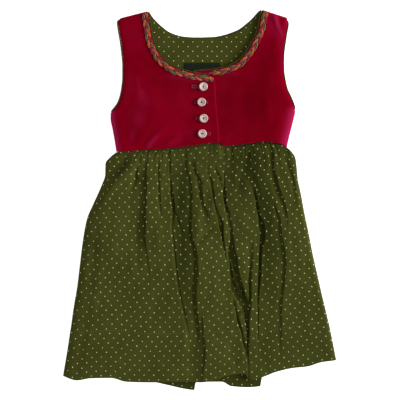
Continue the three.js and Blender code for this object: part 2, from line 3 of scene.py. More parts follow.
import bmesh
import bpy
import numpy as np
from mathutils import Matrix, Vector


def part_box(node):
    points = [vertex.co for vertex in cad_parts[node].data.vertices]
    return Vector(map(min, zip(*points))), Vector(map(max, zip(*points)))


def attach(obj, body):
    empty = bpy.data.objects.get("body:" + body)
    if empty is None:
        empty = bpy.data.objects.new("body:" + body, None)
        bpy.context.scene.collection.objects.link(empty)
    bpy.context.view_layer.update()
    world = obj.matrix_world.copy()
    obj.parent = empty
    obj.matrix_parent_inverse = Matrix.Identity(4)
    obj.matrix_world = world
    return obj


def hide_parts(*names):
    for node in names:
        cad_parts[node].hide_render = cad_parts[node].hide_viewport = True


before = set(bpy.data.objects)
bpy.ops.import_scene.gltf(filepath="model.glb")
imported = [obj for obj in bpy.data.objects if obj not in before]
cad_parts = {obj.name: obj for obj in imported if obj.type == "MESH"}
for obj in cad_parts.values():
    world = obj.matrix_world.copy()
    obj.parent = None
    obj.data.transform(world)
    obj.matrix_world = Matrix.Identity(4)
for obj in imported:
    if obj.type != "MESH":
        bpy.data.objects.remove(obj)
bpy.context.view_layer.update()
print("frame loaded:", len(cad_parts), "nodes")

# Every table is in millimetres: +X to the wearer's left, +Y to the shoulders, +Z up from the surface.
mm = 0.001
velvetWall = 1.4
sideSeamZ = 3.3  # where the front's rolled edge meets the back's


def mix(a, b, share):
    return a + (b - a) * share


def ease(value):  # 0 to 1, level at both ends
    value = np.clip(value, 0, 1)
    return value * value * (3 - 2 * value)


def bell(value):
    return np.exp(-value * value)


def rollOver(value):  # a quarter of an ellipse, steep at 0 and level at 1
    return np.sqrt(1 - (1 - np.clip(value, 0, 1)) ** 2)


# A cubic through every point. Its slope there is the harmonic mean of the two straight slopes, so it
# never swings past a point; at a corner each side keeps its own slope.
def smoothCurve(places, values, corners=()):
    places, values = np.asarray(places, float), np.asarray(values, float)
    gaps = np.diff(places)
    slopes = np.diff(values) / gaps
    before, after = slopes[:-1], slopes[1:]
    same = before * after > 0
    between = np.where(same, 2 * before * after / np.where(same, before + after, 1), 0)
    leaving = np.concatenate([slopes[:1], between, slopes[-1:]])
    arriving = leaving.copy()
    for corner in corners:
        arriving[corner], leaving[corner] = slopes[corner - 1], slopes[corner]

    def curve(place):
        place = np.clip(place, places[0], places[-1])
        gap = np.clip(np.searchsorted(places, place, side="right") - 1, 0, len(gaps) - 1)
        t = (place - places[gap]) / gaps[gap]
        start, end = values[gap], values[gap + 1]
        leave, arrive = leaving[gap] * gaps[gap], arriving[gap + 1] * gaps[gap]
        first = ((2 * t - 3) * t * t + 1) * start + ((t - 2) * t + 1) * t * leave
        return first + (3 - 2 * t) * t * t * end + (t - 1) * t * t * arrive

    return curve


# One smooth curve for each named column, along the first column.
def curvesOf(names, rows, corners=()):
    table = np.array(sorted(rows), float).T
    return {name: smoothCurve(table[0], column, corners) for name, column in zip(names.split(), table[1:])}


# ---- meshes
def makeObject(name, points, faces, uv=None, values=None, finish=None):
    mesh = bpy.data.meshes.new(name)
    mesh.vertices.add(len(points))
    mesh.vertices.foreach_set("co", (np.asarray(points, float) * mm).ravel())
    loops = np.concatenate([group.ravel() for group in faces])
    sizes = np.concatenate([np.full(len(group), group.shape[1]) for group in faces])
    mesh.loops.add(len(loops))
    mesh.loops.foreach_set("vertex_index", loops.astype(np.int32))
    mesh.polygons.add(len(sizes))
    starts = np.concatenate([[0], np.cumsum(sizes)[:-1]])
    mesh.polygons.foreach_set("loop_start", starts.astype(np.int32))
    mesh.update(calc_edges=True)
    mesh.polygons.foreach_set("use_smooth", np.ones(len(sizes), bool))
    if uv is not None:
        layer = mesh.uv_layers.new(name="cloth")
        layer.data.foreach_set("uv", uv[loops].astype(np.float32).ravel())
    for key, value in (values or {}).items():
        layer = mesh.attributes.new(key, "FLOAT", "POINT")
        layer.data.foreach_set("value", value.astype(np.float32))
    mesh.validate()
    piece = bpy.data.objects.new(name, mesh)
    bpy.context.scene.collection.objects.link(piece)
    if finish:
        mesh.materials.append(finish)
    return piece


# The quads of a grid whose points are numbered row by row; a closed grid joins its last column to its
# first.
def gridQuads(rows, columns, closed=False):
    numbers = np.arange(rows * columns).reshape(rows, columns)
    beside = np.roll(numbers, -1, 1) if closed else numbers[:, 1:]
    numbers = numbers if closed else numbers[:, :-1]
    corners = [numbers[:-1], beside[:-1], beside[1:], numbers[1:]]
    return np.stack(corners, -1).reshape(-1, 4)


# An open surface from a grid of points. Without a UV of its own it is laid out from above.
def gridSurface(points, uv=None):
    uv = points[..., :2] if uv is None else uv
    return dict(points=points.reshape(-1, 3), quads=gridQuads(*points.shape[:2]), uv=uv.reshape(-1, 2))


# Two open surfaces as one: points at the same place are merged.
def sewn(first, second):
    points = np.concatenate([first["points"], second["points"]])
    quads = np.concatenate([facesUp(first)[0], facesUp(second)[0] + len(first["points"])])
    _, kept, place = np.unique(points.round(3), axis=0, return_index=True, return_inverse=True)
    uv = np.concatenate([first["uv"], second["uv"]])
    return dict(points=points[kept], quads=place.ravel()[quads], uv=uv[kept])


def lengths(vectors):
    return np.linalg.norm(vectors, axis=-1, keepdims=True)


def facesUp(surface):
    points, quads = surface["points"], surface["quads"]
    corners = points[quads]
    across = np.cross(corners[:, 2] - corners[:, 0], corners[:, 3] - corners[:, 1])
    if across[:, 2].sum() < 0:
        quads, across = quads[:, ::-1], -across
    normals = np.zeros_like(points)
    for corner in range(4):
        np.add.at(normals, quads[:, corner], across)
    return quads, normals / lengths(normals)


# A closed wall round an open surface: its points move half the thickness along the normal to both
# sides, and a half round rim joins the two.
def walled(surface, thickness):
    quads, normals = facesUp(surface)
    points, count = surface["points"].copy(), len(surface["points"])
    half = np.broadcast_to(np.asarray(thickness, float), (count,))[:, None] / 2
    edges = np.stack([quads, np.roll(quads, -1, 1)], -1).reshape(-1, 2)
    rim = edges[~np.isin(edges[:, 0] * count + edges[:, 1], edges[:, 1] * count + edges[:, 0])]
    out = np.zeros_like(points)
    for end in range(2):
        off = np.cross(points[rim[:, 1]] - points[rim[:, 0]], normals[rim[:, end]])
        np.add.at(out, rim[:, end], off / lengths(off))
    ring = np.unique(rim)
    out = out[ring] / lengths(out[ring])
    points[ring] -= out * half[ring]
    rings = [points[ring] + half[ring] * (math.cos(a) * out + math.sin(a) * normals[ring])
             for a in (math.pi / 4, 0, -math.pi / 4)]
    place = np.zeros(count, int)
    place[ring] = np.arange(len(ring))
    ladder = [rim] + [2 * count + i * len(ring) + place[rim] for i in range(3)] + [rim + count]
    sides = [np.stack([a[:, 1], a[:, 0], b[:, 0], b[:, 1]], 1) for a, b in zip(ladder, ladder[1:])]
    order = np.concatenate([np.arange(count), np.arange(count)] + [ring] * 3)
    return dict(
        points=np.concatenate([points + normals * half, points - normals * half, *rings]),
        faces=[np.concatenate([quads, quads[:, ::-1] + count, *sides])],
        order=order,
        uv=surface["uv"][order],
    )


def clothPiece(name, surface, thickness, finish, values=None):
    wall = walled(surface, thickness)
    extra = {key: value[wall["order"]] for key, value in (values or {}).items()}
    return makeObject(name, wall["points"], wall["faces"], wall["uv"], extra, finish)


# A closed bar: a section of (side, up) pairs carried along a path and swollen at each place; its ends
# are drawn in almost to a point over the length roundEnd. UV is (length along, share of a turn round).
def bar(path, up, section, swell=None, roundEnd=1.0):
    path = np.asarray(path, float)
    steps = np.gradient(path, axis=0)
    steps /= lengths(steps)
    side = np.cross(steps, up)
    side /= lengths(side)
    up = np.cross(side, steps)
    along = np.concatenate([[0], np.cumsum(lengths(np.diff(path, axis=0)).ravel())])
    ends = np.minimum(along, along[-1] - along) / roundEnd
    size = (np.ones(len(path)) if swell is None else swell) * np.maximum(rollOver(ends), 0.02)
    section = np.asarray(section, float)
    count, sides = len(path), len(section)
    offsets = section[None, :, 0, None] * side[:, None] + section[None, :, 1, None] * up[:, None]
    points = (path[:, None] + offsets * size[:, None, None]).reshape(-1, 3)
    quads = gridQuads(count, sides, closed=True)
    first = np.arange(sides)
    caps = np.array([first, (first + (count - 1) * sides)[::-1]])
    uv = np.stack(np.meshgrid(along, np.arange(sides) / sides, indexing="ij"), -1).reshape(-1, 2)
    return dict(points=points, faces=[quads[:, ::-1], caps], uv=uv)


def joined(parts):
    points, faces, uv, tags, shift = [], {}, [], [], 0
    for tag, part in enumerate(parts):
        points.append(part["points"])
        uv.append(part["uv"])
        tags.append(np.full(len(part["points"]), part.get("tag", tag), float))
        for group in part["faces"]:
            faces.setdefault(group.shape[1], []).append(group + shift)
        shift += len(part["points"])
    faces = [np.concatenate(groups) for groups in faces.values()]
    return dict(points=np.concatenate(points), faces=faces, uv=np.concatenate(uv), tag=np.concatenate(tags))


# An upright prism on an outline: the tool for cutting a hole.
def prism(outline, low, high):
    count = len(outline)
    ring = np.arange(count)
    after = np.roll(ring, -1)
    sides = np.stack([ring, after, after + count, ring + count], 1)
    return dict(points=np.concatenate([np.column_stack([outline, np.full(count, z)]) for z in (low, high)]),
                faces=[sides, np.array([ring[::-1], ring + count])], uv=np.zeros((2 * count, 2)))


def ellipse(width, height, count):
    turn = np.arange(count) * 2 * np.pi / count
    return np.stack([np.cos(turn) * width, np.sin(turn) * height], 1)


def place(piece, slot, *nodes):
    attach(piece, "root")
    if nodes:
        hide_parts(*nodes)


# A piece with one finish, cut by cutter where one is given; the nodes it stands in for are hidden.
def addPart(name, part, finish, slot, *nodes, cutter=None):
    piece = makeObject(name, part["points"], part["faces"], part["uv"], None, finishes[finish])
    if cutter:
        cutOut(piece, cutter)
    place(piece, slot, *nodes)
    return piece


# ---- materials
class Shader:  # a material's nodes, built up by short calls; a value may be a number or a socket
    def __init__(self, name, **sockets):
        self.material = bpy.data.materials.new(name)
        self.material.use_nodes = True
        self.tree = self.material.node_tree
        self.body = self.tree.nodes["Principled BSDF"]
        for key, value in sockets.items():
            self.body.inputs[key.replace("_", " ")].default_value = value

    def node(self, kind, inputs=(), output=0, **settings):
        node = self.tree.nodes.new("ShaderNode" + kind)
        for key, value in settings.items():
            setattr(node, key, value)
        for key, value in dict(inputs).items():
            self.feed(node.inputs[key], value)
        return node.outputs[output]

    def feed(self, socket, value):
        if isinstance(value, bpy.types.NodeSocket):
            self.tree.links.new(value, socket)
        else:
            socket.default_value = value

    def math(self, operation, *values):
        return self.node("Math", dict(enumerate(values)), operation=operation)

    def range(self, value, low, high, toLow=0.0, toHigh=1.0, kind="SMOOTHSTEP"):
        inputs = {"Value": value, 1: low, 2: high, 3: toLow, 4: toHigh}
        return self.node("MapRange", inputs, interpolation_type=kind)

    def noise(self, scale, detail=2.0, vector=None, roughness=0.5):
        inputs = {"Scale": scale, "Detail": detail, "Roughness": roughness}
        inputs["Vector"] = vector or self.node("TexCoord", output=3)
        return self.node("TexNoise", inputs)

    def mixColour(self, share, first, second, blend="MIX"):
        inputs = {0: share, 6: first, 7: second}
        return self.node("Mix", inputs, output=2, data_type="RGBA", blend_type=blend)

    def attribute(self, name):
        return self.node("Attribute", output=2, attribute_name=name)

    def uv(self):
        split = self.tree.nodes.new("ShaderNodeSeparateXYZ")
        self.feed(split.inputs[0], self.node("UVMap", uv_map="cloth"))
        return split.outputs[0], split.outputs[1]

    def bump(self, height, distance, strength=1.0, before=None):
        inputs = {"Height": height, "Distance": distance, "Strength": strength}
        if before:
            inputs["Normal"] = before
        return self.node("Bump", inputs)

    def done(self, colour, normal=None, roughness=None):
        self.feed(self.body.inputs["Base Color"], colour)
        if normal:
            self.feed(self.body.inputs["Normal"], normal)
        if roughness:
            self.feed(self.body.inputs["Roughness"], roughness)
        return self.material


def rgb(red, green, blue):  # screen values 0 to 255, as a linear colour
    return tuple((value / 255) ** 2.2 for value in (red, green, blue)) + (1,)


# Velvet: a deep red that differs at random in soft patches, with a pink sheen where it turns away.
# A per-point attribute adds painted pink sheen, or painted shade below 0. The pile is a fine bump.
# Of these colours, the pink one is painted sheen and deep is painted shade.
velvetLook = dict(dark=rgb(116, 4, 25), light=rgb(130, 7, 32), paintedSheen=rgb(166, 34, 76), deep=rgb(78, 0, 12),
                  sheen=0.35, sheenRoughness=0.36, tint=(1.0, 0.12, 0.45, 1), pile=0.00012)


def velvetMaterial():
    look = velvetLook
    s = Shader("velvet", Roughness=0.9, Specular_IOR_Level=0.0, Sheen_Weight=look["sheen"],
               Sheen_Roughness=look["sheenRoughness"], Sheen_Tint=look["tint"])
    patches = s.range(s.noise(26, 3), 0.3, 0.72)
    paintedSheen = s.attribute("paintedSheenAndShade")
    colour = s.mixColour(patches, look["dark"], look["light"])
    # Painted sheen where the per-point attribute is above 0, painted shade where it is below 0.
    colour = s.mixColour(paintedSheen, colour, look["paintedSheen"])
    colour = s.mixColour(s.math("MULTIPLY", paintedSheen, -1.0), colour, look["deep"])
    pile = s.noise(2600, 2)
    streaks = s.noise(420, 3)
    colour = s.mixColour(s.range(streaks, 0.3, 0.7, 0.0, 0.16), colour, look["dark"])
    normal = s.bump(pile, look["pile"], 0.5, s.bump(streaks, look["pile"] * 3, 0.5))
    return s.done(colour, normal, s.range(patches, 0, 1, 0.8, 0.92))


# Pin-dot cotton: dots on two rectangular lattices, the second moved by half a step both ways. UV is in
# millimetres along the threads.
# deep is the colour of the painted shade on the skirt.
cottonLook = dict(dark=rgb(63, 66, 28), light=rgb(71, 74, 33), deep=rgb(40, 42, 16), dot=rgb(250, 250, 192),
                  stepAcross=14.0, stepAlong=13.8, dotRadius=0.61, thread=0.42)


def dotMask(s, u, v):
    look = cottonLook
    masks = []
    for shift in (0.25, 0.75):
        a = s.math("ADD", s.math("DIVIDE", u, look["stepAcross"]), shift)
        b = s.math("ADD", s.math("DIVIDE", v, look["stepAlong"]), shift)
        x = s.math("MULTIPLY", s.math("SUBTRACT", s.math("FRACT", a), 0.5), look["stepAcross"])
        y = s.math("MULTIPLY", s.math("SUBTRACT", s.math("FRACT", b), 0.5), look["stepAlong"])
        far = s.math("SQRT", s.math("ADD", s.math("MULTIPLY", x, x), s.math("MULTIPLY", y, y)))
        cell = s.node("CombineXYZ", {0: s.math("FLOOR", a), 1: s.math("FLOOR", b), 2: shift})
        own = s.node("TexWhiteNoise", {"Vector": cell})
        edge = s.math("MULTIPLY_ADD", own, 0.14, look["dotRadius"] - 0.07)
        mask = s.range(s.math("SUBTRACT", far, edge), -0.16, 0.16, 1.0, 0.0)
        masks.append(s.math("MULTIPLY", mask, s.math("MULTIPLY_ADD", own, -0.18, 1.0)))
    return s.math("MAXIMUM", *masks)


def cottonMaterial():
    look = cottonLook
    s = Shader("cotton", Roughness=0.88, Specular_IOR_Level=0.03, Sheen_Weight=0.04,
               Sheen_Roughness=0.5, Sheen_Tint=(0.8, 0.85, 0.3, 1))
    u, v = s.uv()
    wave = 2 * math.pi / look["thread"]
    across = s.math("SINE", s.math("MULTIPLY", u, wave))
    along = s.math("SINE", s.math("MULTIPLY", v, wave))
    weave = s.math("MULTIPLY", across, along)
    slub = s.noise(900, 2)
    tone = s.range(s.noise(34, 4), 0.3, 0.7)
    tone = s.math("ADD", s.math("MULTIPLY", tone, 0.7), s.math("MULTIPLY", slub, 0.3))
    colour = s.mixColour(tone, look["dark"], look["light"])
    colour = s.mixColour(s.range(weave, -1, 1, 0.0, 0.14), colour, look["dark"])
    # Painted shade: the per-point attribute darkens the cotton towards deep.
    colour = s.mixColour(s.attribute("paintedShade"), colour, look["deep"])
    colour = s.mixColour(dotMask(s, u, v), colour, look["dot"])
    normal = s.bump(weave, 0.00006, 0.4, s.bump(slub, 0.0002, 0.35))
    return s.done(colour, normal)


# Corded edging: cloth wound on a slant over a cord; the slant repeats along and round it.
def cordMaterial():
    s = Shader("cord", Roughness=0.8, Specular_IOR_Level=0.05)
    u, v = s.uv()
    turns = s.math("ADD", s.math("DIVIDE", u, 1.3), v)
    rib = s.math("SINE", s.math("MULTIPLY", turns, 2 * math.pi))
    tone = s.range(s.math("ADD", rib, s.noise(300, 3)), -0.8, 1.6)
    colour = s.mixColour(tone, rgb(44, 48, 16), rgb(78, 82, 36))
    return s.done(colour, s.bump(rib, 0.00012, 0.6))


# One strand of the plait: a flat braid with a light cord at each edge; its own threads slant from the
# middle to both edges.
strandColours = dict(
    green=(rgb(66, 60, 20), rgb(164, 146, 96)),
    orange=(rgb(196, 86, 20), rgb(214, 92, 52)),
    crimson=(rgb(104, 0, 34), rgb(158, 16, 62)),
)


def strandMaterial(name):
    middle, edge = strandColours[name]
    s = Shader(name + "Strand", Roughness=0.62, Specular_IOR_Level=0.35, Sheen_Weight=0.25,
               Sheen_Roughness=0.4)
    u, v = s.uv()
    across = s.math("COSINE", s.math("MULTIPLY", v, 2 * math.pi))
    aside = s.math("ABSOLUTE", across)
    slant = s.math("ADD", s.math("DIVIDE", u, 0.9), s.math("MULTIPLY", aside, 1.1))
    thread = s.math("SINE", s.math("MULTIPLY", slant, 2 * math.pi))
    colour = s.mixColour(s.range(aside, 0.52, 0.78), middle, edge)
    shade = s.range(s.math("ADD", thread, s.noise(500, 2)), -0.9, 1.5, 0.5, 1.08)
    shade = s.math("MULTIPLY", shade, s.range(s.noise(330, 2), 0.35, 0.65, 0.66, 1.1))
    grey = s.node("CombineColor", {0: shade, 1: shade, 2: shade})
    colour = s.mixColour(1.0, colour, grey, "MULTIPLY")
    return s.done(colour, s.bump(thread, 0.0001, 0.7))


def threadMaterial(name, dark, light):
    s = Shader(name, Roughness=0.6, Specular_IOR_Level=0.2, Sheen_Weight=0.08)
    u, v = s.uv()
    twist = s.math("ADD", s.math("DIVIDE", u, 0.5), v)
    ply = s.math("SINE", s.math("MULTIPLY", twist, 2 * math.pi))
    colour = s.mixColour(s.range(ply, -1, 1), dark, light)
    return s.done(colour, s.bump(ply, 0.00005, 0.6))


# Shell button: creamy pink clouds, thin growth lines and a clear gloss.
def buttonMaterial():
    s = Shader("shell", Roughness=0.4, Specular_IOR_Level=0.4, Coat_Weight=0.12, Coat_Roughness=0.3,
               Subsurface_Weight=0.12, Subsurface_Scale=0.002)
    clouds = s.noise(160, 4)
    rings = s.node("TexWave", {"Scale": 210.0, "Distortion": 9.0, "Detail": 3.0,
                               "Vector": s.node("TexCoord", output=3)}, output=1)
    colour = s.mixColour(s.range(clouds, 0.35, 0.68), rgb(184, 154, 146), rgb(218, 198, 190))
    colour = s.mixColour(s.math("MULTIPLY", rings, 0.28), colour, rgb(202, 172, 176))
    return s.done(colour, s.bump(rings, 0.00008, 0.25), s.range(clouds, 0.3, 0.7, 0.34, 0.46))


# Woven label: satin ground in fine ribs.
def labelMaterial():
    s = Shader("label", Roughness=0.55, Specular_IOR_Level=0.12)
    x, y = (s.node("SeparateXYZ", {0: s.node("TexCoord", output=3)}, output=axis) for axis in (0, 1))
    ribs = s.math("SINE", s.math("MULTIPLY", y, 2 * math.pi / 0.0007))
    threads = s.math("SINE", s.math("MULTIPLY", x, 2 * math.pi / 0.0005))
    weave = s.math("ADD", ribs, s.math("MULTIPLY", threads, 0.5))
    tone = s.range(s.math("ADD", weave, s.noise(400, 2)), -1.5, 2.5)
    colour = s.mixColour(tone, rgb(14, 24, 15), rgb(32, 40, 27))
    return s.done(colour, s.bump(weave, 0.00006, 0.5))


finishes = dict(
    velvet=velvetMaterial(),
    cotton=cottonMaterial(),
    cord=cordMaterial(),
    button=buttonMaterial(),
    label=labelMaterial(),
    redThread=threadMaterial("redThread", rgb(14, 2, 4), rgb(44, 10, 12)),
    workedThread=threadMaterial("workedThread", rgb(140, 22, 46), rgb(172, 60, 80)),
    greenThread=threadMaterial("greenThread", rgb(96, 102, 58), rgb(140, 146, 98)),
)
strandFinishes = [strandMaterial(name) for name in strandColours]
print("materials made:", len(finishes) + len(strandFinishes))


# ---- bodice
# Edges of the panels, each from the waist seam up to the shoulder: sixteen places on the outer edge
# (side seam, then armhole) and sixteen facing them on the inner edge (front edge or centre, then neck).
rightOuter = [(-120.5, 70.5), (-123, 85.5), (-126, 102), (-129, 117.5), (-129, 125), (-123, 132.5),
              (-117.5, 140.5), (-114, 150), (-111.5, 162.5), (-110, 178.5), (-110, 195.5), (-111.5, 213),
              (-113.5, 229), (-116, 243.5), (-118, 258), (-114.5, 263.5)]
leftOuter = [(126.5, 77.5), (130, 92.5), (133.5, 106), (136.5, 118), (138.5, 128.5), (135.5, 138.5),
             (131, 149.5), (126, 160), (123, 172.5), (121, 185.5), (120.5, 198.5), (121, 213),
             (122.8, 227), (125, 241.5), (127.4, 256), (126.4, 264.2)]
rightInner = [(28.5, 84), (27.5, 101.5), (26, 119), (24, 136), (23, 156.5), (21.5, 176.5), (-1, 182),
              (-22.5, 187.5), (-36.5, 192), (-48, 199.5), (-57, 209.5), (-63.5, 221), (-68.5, 234),
              (-71.5, 249.5), (-74, 269.5), (-75.5, 273.5)]
leftInner = [(-5, 78), (-6, 92.5), (-7, 110), (-8.5, 130.5), (-10, 153.5), (-12, 186.5), (10.5, 188),
             (29, 190.5), (44, 195), (57, 202), (67.5, 214), (75.5, 227), (82, 240), (86.5, 253.5),
             (89.5, 269), (91.5, 275.5)]
centreBack = [(5, 78), (5, 97), (5.5, 119), (5.5, 145), (6, 174), (6, 203), (6, 234.5)]
rightBackInner = centreBack + [(-8, 234.5), (-22.5, 235.5), (-34, 238), (-46, 243), (-55.5, 250),
                               (-64, 258), (-70, 264.5), (-73.5, 270), (-76, 273)]
leftBackInner = centreBack + [(19.5, 235), (34, 237.5), (47, 241.5), (58.5, 246.5), (68.5, 254), (76.5, 261),
                              (82.5, 267.5), (87.5, 273), (91, 275.5)]
waist = [(-120.5, 70), (-101, 71), (-80.5, 72.5), (-48.5, 74.5), (-21, 77.5), (-1, 80.5), (24, 83),
         (36, 82), (50, 81.7), (70, 82.5), (97.5, 84), (116, 81.5), (126.5, 77)]
underarm, frontNeck, backNeck, shoulder = 4, 5, 6, 15
waistAt = smoothCurve(*zip(*waist))
waistRight, waistLeft = waist[0][0], waist[-1][0]
wellInside = 60  # farther from the edge than any roll reaches

bodice = dict(
    overlapZ=7.1, underlapZ=5.2, settle=0.9, armholeZ=5.0, backSeamZ=1.9,
    rightRoll=12, leftRoll=20, armholeRoll=10, backRoll=3,
    chest=[(-72, 125, 2.4), (84, 125, 2.6)], chestAcross=42, chestAlong=55,  # x, y, height
    underlapDrop=3.2,  # how much lower the covered panel's waist edge runs than the top one's
)

# Soft creases: from x, y to x, y, height and half width.
frontCreases = [
    (-77, 77, -60, 95, 1.5, 4.5), (-60, 95, -50, 104, 0.7, 4), (-48, 79, -31, 95, 0.7, 3.5),
    (-88, 80, -79, 100, 0.8, 7), (-96, 117, -82, 92, 0.7, 10), (-68, 150, -58, 120, 0.5, 9),
    (-106, 165, -88, 150, 0.6, 7), (107, 267, 111, 254, 1.3, 3), (111, 254, 120, 237, 0.9, 3),
    (112, 240, 108, 208, 0.6, 5), (96, 150, 100, 112, 0.7, 6), (62, 150, 68, 92, -0.8, 12),
    (-100, 205, -86, 190, 0.5, 5), (104, 92, 118, 118, 0.7, 6), (34, 84, 44, 100, 0.4, 4),
]
backCreases = [
    (-98, 84, -84, 118, 0.35, 8), (-40, 82, -28, 120, 0.3, 7), (52, 86, 40, 128, 0.35, 8),
    (104, 96, 92, 130, 0.3, 9), (-60, 150, 10, 162, 0.25, 8), (20, 190, 78, 200, 0.3, 9),
]
# Painted sheen on the velvet, and painted shade below 0: x, y, half width, half height, amount.
velvetSheenAndShadePatches = [
    (-82, 148, 9, 11, 0.16), (-89, 118, 9, 14, 0.2), (-104, 168, 8, 20, 0.08), (-92, 240, 14, 22, 0.06),
    (-18, 150, 30, 30, 0.05), (-8, 96, 22, 7, 0.12), (-20, 179, 24, 5, 0.3), (-79, 98, 5, 8, -0.1),
    (38, 150, 9, 40, 0.14), (72, 140, 30, 40, -0.42), (94, 190, 17, 38, -0.4), (60, 90, 26, 16, 0.08),
    (45, 184, 22, 6, 0.25), (84, 236, 10, 16, 0.2), (112, 254, 15, 22, 0.28), (118, 200, 5, 30, 0.16),
    (120, 259, 3, 6, -0.3), (126, 258, 3, 7, 0.2),
]
# Painted highlights along creases in the velvet, as creases are given: amount for height.
velvetHighlightStrokes = [
    (-90, 178, -85, 156, 0.15, 3), (-85, 158, -77, 138, 0.08, 5), (-62, 93, -76, 76, 0.36, 3.4),
    (-96, 100, -98, 86, 0.16, 5), (-26, 87, -44, 82, 0.18, 3.4), (104, 184, 106, 160, 0.2, 3.5),
    (110.5, 268, 114, 250, 0.35, 2.2), (114, 250, 121, 236, 0.2, 2.2), (-126, 118, -121, 76, 0.4, 2.6),
]


# Height of every crease at each place: a bell across it, fading out before both its ends.
def creased(creases, x, y):
    height = np.zeros(np.broadcast(x, y).shape)
    for x0, y0, x1, y1, tall, half in creases:
        length = math.hypot(x1 - x0, y1 - y0)
        along = ((x - x0) * (x1 - x0) + (y - y0) * (y1 - y0)) / length
        across = ((x - x0) * (y1 - y0) - (y - y0) * (x1 - x0)) / length
        beyond = np.maximum(0, np.abs(along - length / 2) - length * 0.32)
        height += tall * bell(across / half) * bell(beyond / (length * 0.2 + half * 0.4))
    return height


# Small unevenness: waves in seeded directions, each between the shortest and the longest in length.
def rumpled(x, y, height, seed, shortest=9, longest=30, waves=14):
    chance = np.random.default_rng(seed)
    total = np.zeros(np.broadcast(x, y).shape)
    for _ in range(waves):
        turn = chance.uniform(0, math.pi)
        wave = chance.uniform(shortest, longest)
        start = chance.uniform(0, 6.3)
        total += np.sin((x * math.cos(turn) + y * math.sin(turn)) * 2 * math.pi / wave + start)
    return total * height / 4


def patched(patches, x, y):
    return sum(v * bell((x - a) / w) * bell((y - b) / h) for a, b, w, h, v in patches)


# Painted sheen and painted shade on the velvet at each place: patches, crease highlights, the front edge and
# the rolled sides.
def paintedSheenAndShadeAt(x, y):
    edge = rightEdgeX(y)  # painted sheen along the front edge, and along the roll at each side
    paintedEdgeSheen = 0.45 * ease((neckY - y) / 3) * bell((edge - x - 0.8) / 0.8) * (x < edge + 0.1)
    rolled = sum(v * bell((x - side(y)) / w) for side, w, v in rollSheenSides)
    amount = patched(velvetSheenAndShadePatches, x, y) + paintedEdgeSheen + creased(velvetHighlightStrokes, x, y)
    return np.clip(amount + ease((underarmY + 12 - y) / 14) * rolled, -1, 1)


def armholeShare(at):
    return np.clip((at - underarm + 0.4) / 1.2, 0, 1)


rightEdgeX = curvesOf("x", [(y, x) for x, y in rightInner[:frontNeck + 1]])["x"]
neckY, underarmY = rightInner[frontNeck][1], leftOuter[underarm][1]
# Painted sheen along the roll at each side: the edge, how wide and how strong.
rollSheenSides = [(curvesOf("x", [(y, x) for x, y in edge[:underarm + 1]])["x"], width, amount)
               for edge, width, amount in ((rightOuter, 5.5, 1.1), (leftOuter, 9, 1.0))]


# Height of a front panel's middle at each place, from its distance to the outer edge and its section.
def frontHeight(side, x, y, distance, at):
    b = bodice
    if side == "right":
        flat = b["overlapZ"] - b["settle"] * ease((-25 - x) / 40)
    else:
        flat = mix(b["underlapZ"], b["overlapZ"], ease((x - rightEdgeX(y) - 3) / 30))
    for a, c, tall in b["chest"]:
        flat = flat + tall * bell((x - a) / b["chestAcross"]) * bell((y - c) / b["chestAlong"])
    edge = mix(sideSeamZ, b["armholeZ"], armholeShare(at))
    width = mix(b[side + "Roll"], b["armholeRoll"], armholeShare(at))
    folds = creased(frontCreases, x, y) + rumpled(x, y, 0.1, 5)
    inside = edge + (flat - edge) * rollOver(distance / width) + folds * ease(distance / 14)
    return sideSeamZ + (inside - sideSeamZ) * rollOver(shoulder - at)


# A panel ruled between its outer and inner edges, with its rows crowded at the shoulder's roll and its
# columns at the outer edge. The first section is bent to the waist seam.
def panelSurface(outer, inner, corner, heightOf, rows=110, columns=96, inset=0, first=0.0,
                 last=shoulder, drop=None):
    sections = np.arange(shoulder + 1)
    level = np.linspace(first, last - 1, rows - 14)
    level[np.abs(level - corner).argmin()] = corner
    at = np.concatenate([level, last - 1 + np.sin(np.linspace(0, np.pi / 2, 15))[1:]])[:, None]
    outerX, outerY = (smoothCurve(sections, v)(at) for v in zip(*outer))
    innerX, innerY = (smoothCurve(sections, v, [corner])(at) for v in zip(*inner))
    length = np.hypot(innerX - outerX, innerY - outerY)
    share = np.linspace(0, 1, columns)[None, :]
    distance = inset + (length - inset) * (share * 0.5 + share ** 2 * 0.5)
    share = distance / length
    x, y = mix(outerX, innerX, share), mix(outerY, innerY, share)
    straight = mix(outer[0][1], inner[0][1], share)
    seam = waistAt(x) - (drop(x) if drop else 0)
    y = y + (seam - straight) * (1 - np.clip(at / 3, 0, 1)) ** 2
    return gridSurface(np.stack([x, y, heightOf(x, y, distance, np.broadcast_to(at, x.shape))], -1))


def frontPanel(side, outer, inner, drop=None):
    height = lambda x, y, distance, at: frontHeight(side, x, y, distance, at)
    return panelSurface(outer, inner, frontNeck, height, drop=drop)


def backPanel(outer, inner):
    b = bodice

    def height(x, y, distance, at):
        side = (1 - armholeShare(at)) * (1 - rollOver(distance / b["backRoll"]))
        top = 1 - rollOver((shoulder - at) * 2)
        folds = np.maximum(0, creased(backCreases, x, y)) * ease(distance / 20)
        return velvetWall / 2 + (b["backSeamZ"] - velvetWall / 2) * np.maximum(side, top) + folds * 0.6

    return panelSurface(outer, inner, backNeck, height, rows=90, columns=70)


# The buttonhole's slot, straight with round ends, through the whole height of the cloth.
def slotCutter(x, y):
    turn = np.linspace(-np.pi / 2, np.pi / 2, 9)
    half = closure["slotLength"] / 2 - closure["slotWidth"] / 2
    r = closure["slotWidth"] / 2
    right = np.stack([x + half + r * np.cos(turn), y + r * np.sin(turn)], 1)
    left = np.stack([x - half - r * np.cos(turn), y - r * np.sin(turn)], 1)
    return prism(np.concatenate([right, left]), 0.0, 20.0)


